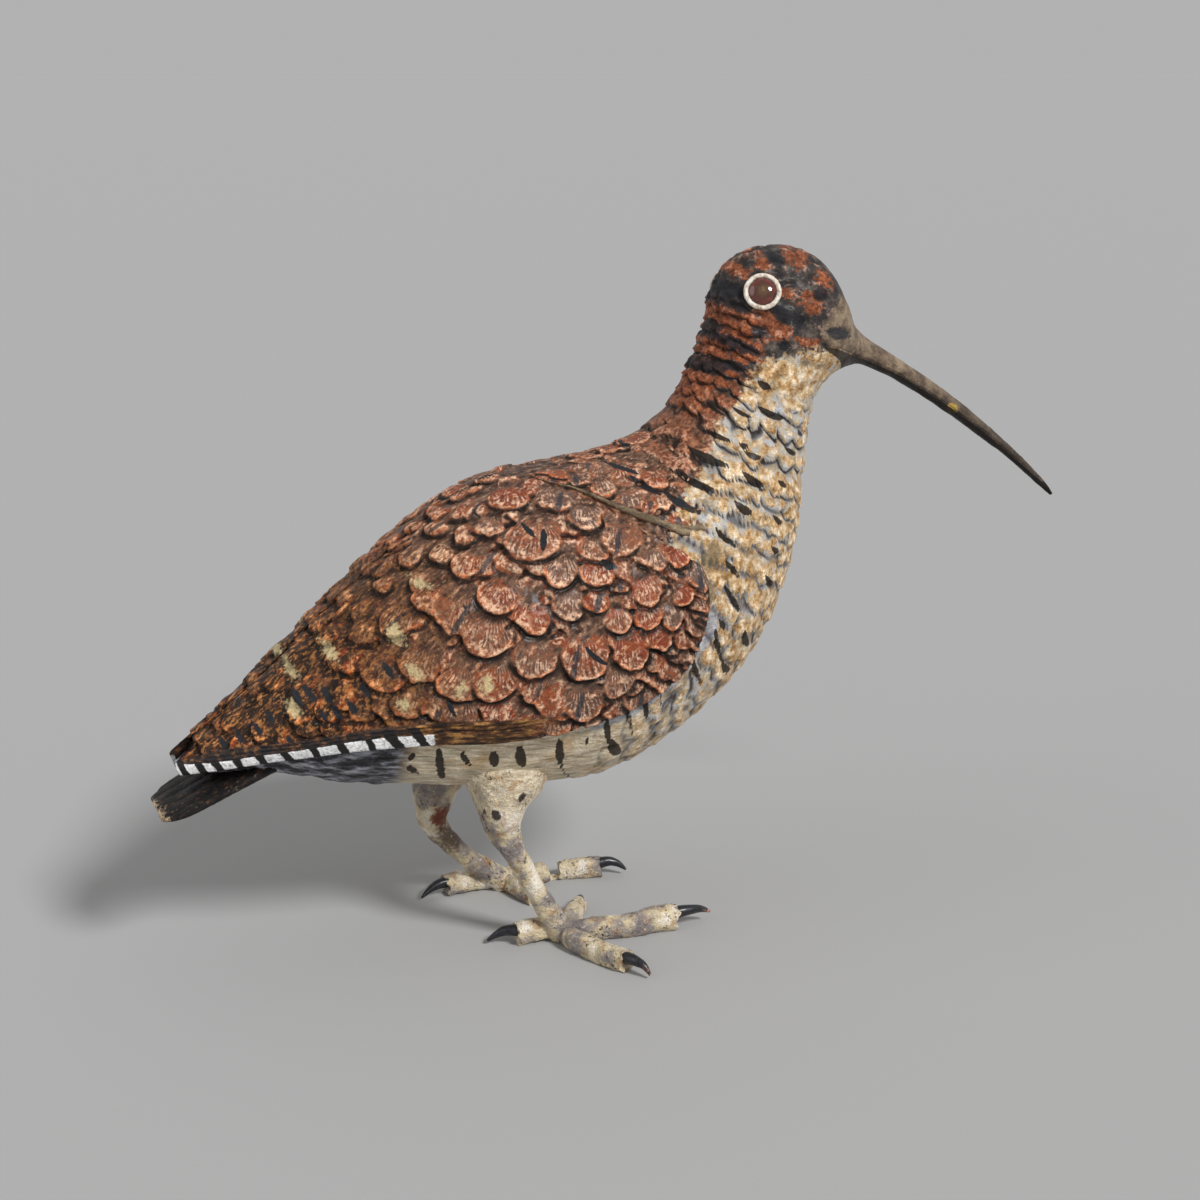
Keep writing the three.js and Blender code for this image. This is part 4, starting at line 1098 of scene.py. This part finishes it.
def raise_wing(points, normals, down, side):
    """The wing's feathers, and its lower margin by distance from the edge: cosine quills over a
    smooth band, which is white with leaning bars behind WHITE_FRONT."""
    values = {}
    placed = turned_over(WING_FEATHERS, side)
    loose = filling(WING, side, placed, radius=6.2, rows=12, columns=19, seed=7)
    height = lay_feathers(points, normals, in_order(loose) + in_order(placed), side, values)
    values["cream"] = spots(points, WING_CREAM, side)
    values["black"] = np.maximum(strokes(points, WING_BLACK, side), spots(points, WING_BARS, side))
    # Long quills edge on, gold in front and dark behind, over the edge's band.
    x = points[..., 0] + 0.5 * noise(points, 3, 70)
    gap = np.linalg.norm(points - points[:, -1:], axis=-1) + 0.25 * noise(points, 4, 71)
    rearward = ramp(-x, 80, 136)
    band = mix(*EDGE_WIDTH, rearward)
    deep = band + mix(*QUILLS_WIDTH, rearward) * ramp(138 + x, 0, 14)
    margin = (1 - ease(gap, deep - 0.5, deep + 0.5)) * ease(-x, 12, 26)
    ridges = 0.9 + 0.3 * np.cos(gap * 2 * np.pi / 1.9)
    edge = 1 - ease(gap, band - 0.4, band + 0.4)
    height = mix(height, mix(ridges, 0.5 + 0.6 * gap / band, edge), margin)
    white = np.min([(band - gap) * 1.2, (WHITE_FRONT - x) * 0.6, x - WHITE_REAR], axis=0)
    lean = 0.3 * (band / 2 - gap)
    bars = np.max([1 - np.abs(x - spot - lean) / 1.45 for spot in EDGE_BARS], axis=0)
    bars = np.where(gap < band + 0.6, bars, -1)
    wedges = np.max([1 - np.abs(x - spot - 1.6 * lean) / 2.1 for spot in EDGE_WEDGES], axis=0)
    values["margin"] = margin
    values["rear"] = ease(-x, 60, 72)
    values["white"] = white
    values["bars"] = np.maximum(bars, np.where(gap < deep - 1, wedges, -1))
    values["proud"] = proud_of(height)
    for key in ("hollow_and_shade", "barb"):
        values[key] = values[key] * (1 - margin)
    return values, height


def raise_mantle(points, normals, down, side):
    """The mantle's feathers, fading into a bell-shaped ledge along its lower edge."""
    values = {}
    placed = turned_over(MANTLE_FEATHERS, side)
    loose = filling(MANTLE, side, placed, radius=5.0, rows=4, columns=9, seed=9)
    height = 0.7 * lay_feathers(points, normals, in_order(loose) + in_order(placed), side, values)
    ledge = 1 - np.abs(down - 0.93) / 0.085
    height = height * (1 - ease(down, 0.8, 0.88)) + 1.0 * bump(down - 0.93, 0.07)
    values["ledge"] = ledge
    values["black"] = strokes(points, MANTLE_MARKS, side)
    values["proud"] = proud_of(height)
    for key in ("hollow_and_shade", "barb", "rim"):
        values[key] = values[key] * (1 - ease(down, 0.8, 0.86))
    return values, height


# tail, legs, feet, eyes

def tube(rows, side, rings, sides, square=2.0):
    """A tube along rows of x, y, z, half width, half height. Each ring is a superellipse whose width
    lies along side, turned square to the run."""
    at = np.linspace(0, len(rows) - 1, rings)
    x, y, z, across, tall = np.moveaxis(smooth(rows, at), -1, 0)
    middle = np.stack([x, y, z], -1)
    run = unit(np.gradient(middle, axis=0))
    up = unit(np.cross(np.broadcast_to(side, run.shape), run))
    level = np.cross(run, up)
    turn = np.linspace(0, 2 * np.pi, sides, endpoint=False)
    wide = across[:, None] * bent(np.sin(turn), 2 / square)
    high = tall[:, None] * bent(np.cos(turn), 2 / square)
    return middle[:, None] + level[:, None] * wide[..., None] - up[:, None] * high[..., None]


def roughen(rings, amount, size, seed):
    """Moves each point of a tube along the line from its ring's middle, by noise."""
    middle = rings.mean(axis=1, keepdims=True)
    out = rings - middle
    out /= np.maximum(np.linalg.norm(out, axis=-1, keepdims=True), 1e-6)
    lump = noise(rings, size, seed) + 0.5 * noise(rings, size / 2.3, seed + 1)
    moved = rings + out * (amount * lump)[..., None]
    moved[..., 2] = np.maximum(moved[..., 2], 0.02)
    return moved


def level_side(rows):
    """The level direction square to a line from the first row to the last."""
    return unit(np.array([rows[0][1] - rows[-1][1], rows[-1][0] - rows[0][0], 0.0]))


# Legs, toes, claws and tail are tubes: rows of x, y, z, half width, half height.
LEVEL = np.array([0, 1.0, 0])
TAIL = [[-90, 0, 83, 17, 7], [-106, 0, 77.5, 18.5, 4.5], [-121, 0, 71, 19.5, 2.8],
        [-133, 0, 65.5, 19, 2.2], [-140, 0, 62.5, 16.5, 2], [-144.3, 0, 60.8, 11, 1.5]]


def make_tail():
    """A flat tube with quills as a bent sine across it, its end frayed by noise."""
    rings = tube(TAIL, LEVEL, rings=150, sides=160)
    quills = np.abs(np.sin(0.45 * rings[..., 1])) ** 0.6
    rings = roughen(rings, amount=0.3, size=2.5, seed=30)
    end = ease(np.linspace(0, 1, len(rings)), 0.86, 1)[:, None]
    rings[..., 0] += end * (1.6 * noise(rings * [0.3, 1, 1], 3.2, 33) + 0.5)
    above = rings[..., 2] > rings[..., 2].mean(axis=1, keepdims=True)
    rings[..., 2] += 0.5 * quills * np.where(above, 1, -0.3)
    values = {"worn": ease(-rings[..., 0], 140, 146) - 0.55 - 0.02 * rings[..., 1]}
    return shell("tail", rings, values, TAIL_PAINT)


RIGHT_LEG = [[-24, -18, 86, 9, 12], [-24.5, -19.5, 76, 11, 17], [-25, -22, 66, 12.5, 16],
             [-27, -25, 55.5, 9.6, 9], [-26.5, -25, 48, 6.6, 6.6], [-23, -25, 39, 4.4, 4.5],
             [-17, -25, 27, 3.7, 3.7], [-11, -24.5, 15.5, 4, 4], [-7, -23.5, 8.5, 4.6, 4.6],
             [-4, -23, 3, 5, 4.8], [-3.4, -23, 0.5, 4, 4]]
RIGHT_TOES = [
    [[-2, -23, 3.5, 2, 3], [7, -25.5, 3.8, 3.5, 4.2], [20, -28, 4, 3.8, 4.3], [31, -27, 4.5, 4.3, 4.8],
     [39.6, -28, 4.5, 4.3, 4.8]],
    [[-4.2, -24, 3.3, 2, 3], [-2, -33, 3.7, 3.8, 4], [3, -45, 3.6, 3.7, 4], [9.3, -56, 3.7, 3.8, 4.1]],
    [[-4, -22, 3.3, 2, 3], [3, -13, 3.6, 3.4, 4], [10, -3, 3.2, 2.8, 3.6]],
    [[-4, -22.7, 4, 2, 3], [-12, -20.5, 4.6, 4, 4.2], [-21, -21, 3.7, 3.8, 4.2]],
]
RIGHT_CLAWS = [
    [[38, -28, 6.2, 2.4, 2.6], [43.5, -28.4, 6.8, 2, 2], [49, -27.7, 6.2, 1.4, 1.4],
     [53.2, -27.4, 4.5, 0.5, 0.5]],
    [[8.5, -54.5, 5, 2.3, 2.4], [10.8, -59.5, 5.4, 1.9, 2], [13, -62.8, 4.4, 1.3, 1.3],
     [14.6, -65.2, 1.6, 0.5, 0.5]],
    [[9.3, -4, 3.6, 2.3, 2.5], [12, 2, 3.6, 1.5, 1.6], [14, 7, 2.2, 0.5, 0.5]],
    [[-20, -21, 5.5, 2.3, 2.3], [-24.5, -19, 5, 1.9, 1.9], [-28, -18.2, 3.4, 1.2, 1.2],
     [-31, -18, 1.6, 0.4, 0.5]],
]
LEFT_LEG = [[-29, 18, 84, 9, 12], [-32, 20.5, 74, 11, 17], [-33.5, 23, 64.5, 12.5, 15.5],
            [-37, 24.3, 51.5, 10.6, 10.2], [-38.8, 24.6, 42, 7.4, 7.4], [-38.8, 25, 33.5, 5.2, 5.2],
            [-33, 26, 24.5, 4, 4], [-25, 27.5, 16, 3.7, 3.7], [-17, 29.3, 9, 4.4, 4.3],
            [-11, 30, 4, 5, 4.8], [-10, 30, 0.5, 4, 4]]
# The middle toe is broken: its second tube is the thin core that shows in the gap.
LEFT_TOES = [
    [[-10, 30, 3.5, 2.4, 3.2], [-3.7, 29.5, 3.8, 3.8, 4.1], [8, 31, 3.6, 3.7, 4]],
    [[6, 30.8, 0.8, 0.8, 1.2], [15.5, 31.5, 0.8, 0.8, 1.2]],
    [[14, 31.6, 3.3, 3, 3.7], [22, 30.5, 3.7, 3.7, 4.1], [30, 28.8, 3.8, 3.8, 4.2]],
    [[-10, 29, 3.3, 2, 3], [-6, 19, 3.6, 3.5, 4], [-3, 10, 3.3, 3.2, 3.7]],
    [[-10, 30.5, 3, 2, 2.6], [-4, 36.5, 2.8, 3.3, 3.3], [0, 40, 2.2, 2.8, 2.7]],
    [[-11, 30.3, 4, 2.4, 3.2], [-22.5, 32.5, 4.3, 4, 4.3], [-33, 31.6, 3.8, 3.8, 4.2]],
]
LEFT_CLAWS = [
    [[29, 29, 5.2, 2.3, 2.4], [33.5, 28.3, 5.7, 1.9, 1.9], [37, 27, 4.6, 1.2, 1.3],
     [39.6, 25.6, 2.4, 0.5, 0.5]],
    [[-31.5, 31.7, 5.2, 2.3, 2.3], [-36, 31, 4.8, 1.9, 1.9], [-40, 29.8, 3.3, 1.2, 1.2],
     [-43.2, 28, 1.6, 0.4, 0.5]],
]
THIGH_MARKS = {-1: [(-31.5, 56, 1.7, 2.8, 10), (-22, 62, 1.5, 2.4, -40)],
               1: [(-33.5, 52.6, 1.4, 2.6, -40)]}
# The share of a claw's length from which its paint is worn through, and one past its end.
WORN_FROM = 0.72
NEVER_WORN = 2.0
# Middles and half axes of the left leg's bare knee and of the dull patch on its shank.
BARE_KNEE = ([-37, 19.5, 37.5], [5, 6, 6.2])
DULL_SHANK = ([-33, 22, 27], [9, 9, 8])


def joined(name, tubes, values_of, paint):
    """Several closed tubes as one piece."""
    points, quads, fans, start = [], [], [], 0
    for rings in tubes:
        p, (q, f) = skin(rings)
        points.append(p)
        quads.append(q + start)
        fans.append(f + start)
        start += len(p)
    points = np.concatenate(points)
    faces = [np.concatenate(quads), np.concatenate(fans)]
    return piece(name, points, faces, values_of(points), paint, "figure")


def within(points, ball):
    """1 at the middle of a ball with three half axes, 0 at its surface."""
    middle, axes = ball
    return 1 - np.linalg.norm((points - middle) / axes, axis=-1)


def make_leg(name, leg, toes, side, seed):
    """A leg's tube and its toes' squarer ones, roughened. Toes are chipped at both ends: noise along
    the toe, times the twelfth power of the distance from its middle."""
    shank = tube(leg, LEVEL, rings=170, sides=64)
    tubes = [roughen(shank, amount=0.35, size=3.2, seed=seed)]
    for n, rows in enumerate(toes):
        toe = tube(rows, level_side(rows), rings=70, sides=40, square=2.4)
        toe = roughen(toe, amount=0.35, size=2.6, seed=seed + 5 + n)
        run = unit(np.array(rows[-1][:3]) - rows[0][:3])
        end = np.abs(np.linspace(-1, 1, len(toe)))[:, None, None] ** 12
        jag = noise(toe * [1, 1, 1.6], 2.4, seed + 9 + n)[..., None]
        tubes.append(toe + run * end * (jag - 0.3) * 1.5)

    def values_of(points):
        """The paint's fields: worn knee, marks, dull shank, and how pale the thigh is."""
        return {"bare": within(points, BARE_KNEE), "black": spots(points, THIGH_MARKS[side], side),
                "dull": within(points, DULL_SHANK), "thigh": ease(points[:, 2], 56, 68)}

    return joined(name, tubes, values_of, LEG_PAINT)


def make_claws(name, claws, worn_claws):
    """Curved tubes that thin out to a point. On the worn ones the paint is gone past a share of the
    length."""
    tubes, worn = [], []
    for n, rows in enumerate(claws):
        rings = tube(rows, level_side(rows), rings=40, sides=24)
        tubes.append(roughen(rings, amount=0.06, size=1.5, seed=60 + n))
        share = np.broadcast_to(np.linspace(0, 1, len(rings))[:, None], rings.shape[:2])
        worn.append(ends(share - (WORN_FROM if n in worn_claws else NEVER_WORN)))
    return joined(name, tubes, lambda points: {"worn": np.concatenate(worn)}, CLAW_PAINT)


def eye_frame(side):
    """Middle of the eye on the head, and the directions out of it and round it."""
    at, turn = find_on_body(*EYE_PLACE, side, NECK_END, HEAD_END)
    middle = body_point(at, turn)
    along = body_point(at + 0.1, turn) - body_point(at - 0.1, turn)
    around = body_point(at, turn + 0.05) - body_point(at, turn - 0.05)
    out = unit(np.cross(around, along))
    if out[1] * side < 0:
        out = -out
    first = unit(np.cross(out, [0, 0, 1.0]))
    return middle, out, first, np.cross(out, first)


def turned(profile, side, sides=72):
    """A profile of radius and height carried round the eye's axis."""
    middle, out, first, second = eye_frame(side)
    r, h = np.moveaxis(np.asarray(profile, float), -1, 0)
    turn = np.linspace(0, 2 * np.pi, sides, endpoint=False)
    flat = first * np.cos(turn)[:, None] + second * np.sin(turn)[:, None]
    return middle + flat[None] * r[:, None, None] + out * h[:, None, None]


GLASS_HEIGHT = 2.35
GLASS_DEPTH = -3.35
RING_RADIUS = 5.85
RING_FOOT = -1.8


def make_eye(side, word):
    """The glass is a quarter ellipse turned round its axis, the ring a circle turned likewise, a
    little flattened and open where it sinks into the head."""
    bow = np.linspace(0, np.pi / 2, 24)[:-1]
    reach = EYE_RADIUS + 0.25
    dome = [(reach * np.cos(b), GLASS_HEIGHT * np.sin(b)) for b in bow] + [(0.02, GLASS_HEIGHT)]
    profile = [(0.02, GLASS_DEPTH), (EYE_RADIUS * 0.98, GLASS_DEPTH)] + dome
    rings = turned(profile, side)
    out = np.array([r for r, _ in profile]) / reach
    values = {"out": np.broadcast_to(out[:, None], rings.shape[:2])}
    shell(f"{word}_eye_glass", rings, values, EYE_GLASS, f"{word}_eye")
    around = np.linspace(0, 2 * np.pi, 28)
    crest = [(RING_RADIUS - 0.85 * np.cos(a), 0.3 + 0.8 * np.sin(a)) for a in around]
    bowed = [(r, h) for r, h in crest if h > -0.1]
    ring_profile = [(RING_RADIUS - 0.85, RING_FOOT)] + bowed + [(RING_RADIUS + 0.75, RING_FOOT)]
    rings = roughen(turned(ring_profile, side, sides=96), amount=0.08, size=1.6, seed=80)
    shell(f"{word}_eye_ring", rings, {}, RING_PAINT)


make_body()
for side, word in ((-1, "right"), (1, "left")):
    patch_shell(f"{word}_wing", WING, side, *WING_GRID, raise_wing, WING_PAINT)
    patch_shell(f"{word}_mantle", MANTLE, side, *MANTLE_GRID, raise_mantle, MANTLE_PAINT)
    make_eye(side, word)
make_tail()
make_leg("right_leg", RIGHT_LEG, RIGHT_TOES, -1, 40)
make_leg("left_leg", LEFT_LEG, LEFT_TOES, 1, 50)
make_claws("right_claws", RIGHT_CLAWS, (0, 1))
make_claws("left_claws", LEFT_CLAWS, ())


# floor, light and camera

FLOOR_REACH = 60
PALE_FLOOR = "aaaaaa"
STUDIO_WALLS = "dcdcdc"
# The photo's camera: its place in millimetres as the bird was drawn, and its directions.
CAMERA_PLACE = np.array([-222.4, -664.3, 310.6])
FORWARD = np.array([0.3304, 0.9077, -0.2588])
RIGHTWARD = np.array([0.9397, -0.3420, 0])
AHEAD = FORWARD * [1, 1, 0]

floor_mesh = bpy.data.meshes.new("floor")
corners = [(x * FLOOR_REACH, y * FLOOR_REACH, 0) for x, y in ((-1, -1), (1, -1), (1, 1), (-1, 1))]
floor_mesh.from_pydata(corners, [], [(0, 1, 2, 3)])
floor_paint, floor_tree = material("floor_paint")
floor_shader = floor_tree.nodes["Principled BSDF"]
floor_shader.inputs["Base Color"].default_value = linear(PALE_FLOOR)
floor_shader.inputs["Roughness"].default_value = 0.8
floor_mesh.materials.append(floor_paint)
floor = bpy.data.objects.new("floor", floor_mesh)
bpy.context.scene.collection.objects.link(floor)


def aimed(name, kind, at, target):
    """A light or camera at its place, upright, with its -Z turned to the target."""
    thing = bpy.data.objects.new(name, kind)
    back = unit(np.array(at) - np.array(target))
    right = unit(np.cross((0, 0, 1), back))
    up = np.cross(back, right)
    thing.matrix_world = Matrix([[right[i], up[i], back[i], at[i]] for i in range(3)] + [[0, 0, 0, 1]])
    bpy.context.scene.collection.objects.link(thing)
    return thing


def far_light(name, at, width, strength):
    """A distant light that seems so many radians wide."""
    light = bpy.data.lights.new(name, "SUN")
    light.angle = width
    light.energy = strength
    aimed(name, light, at, np.zeros(3))


far_light("key", 0.5 * RIGHTWARD - 0.55 * AHEAD + [0, 0, 0.62], width=0.22, strength=2.7)
far_light("fill", -0.9 * RIGHTWARD - 0.4 * AHEAD + [0, 0, 0.5], width=0.8, strength=0.45)

world = bpy.data.worlds.new("studio")
world.use_nodes = True
walls = world.node_tree.nodes["Background"]
walls.inputs["Color"].default_value = linear(STUDIO_WALLS)
walls.inputs["Strength"].default_value = 0.62
bpy.context.scene.world = world
bpy.context.scene.view_settings.view_transform = "Standard"

lens = bpy.data.cameras.new("camera")
lens.lens = 60
lens.sensor_width = 36
stand = (CAMERA_PLACE + SHIFT) * MM
bpy.context.scene.camera = aimed("camera", lens, stand, stand + FORWARD)
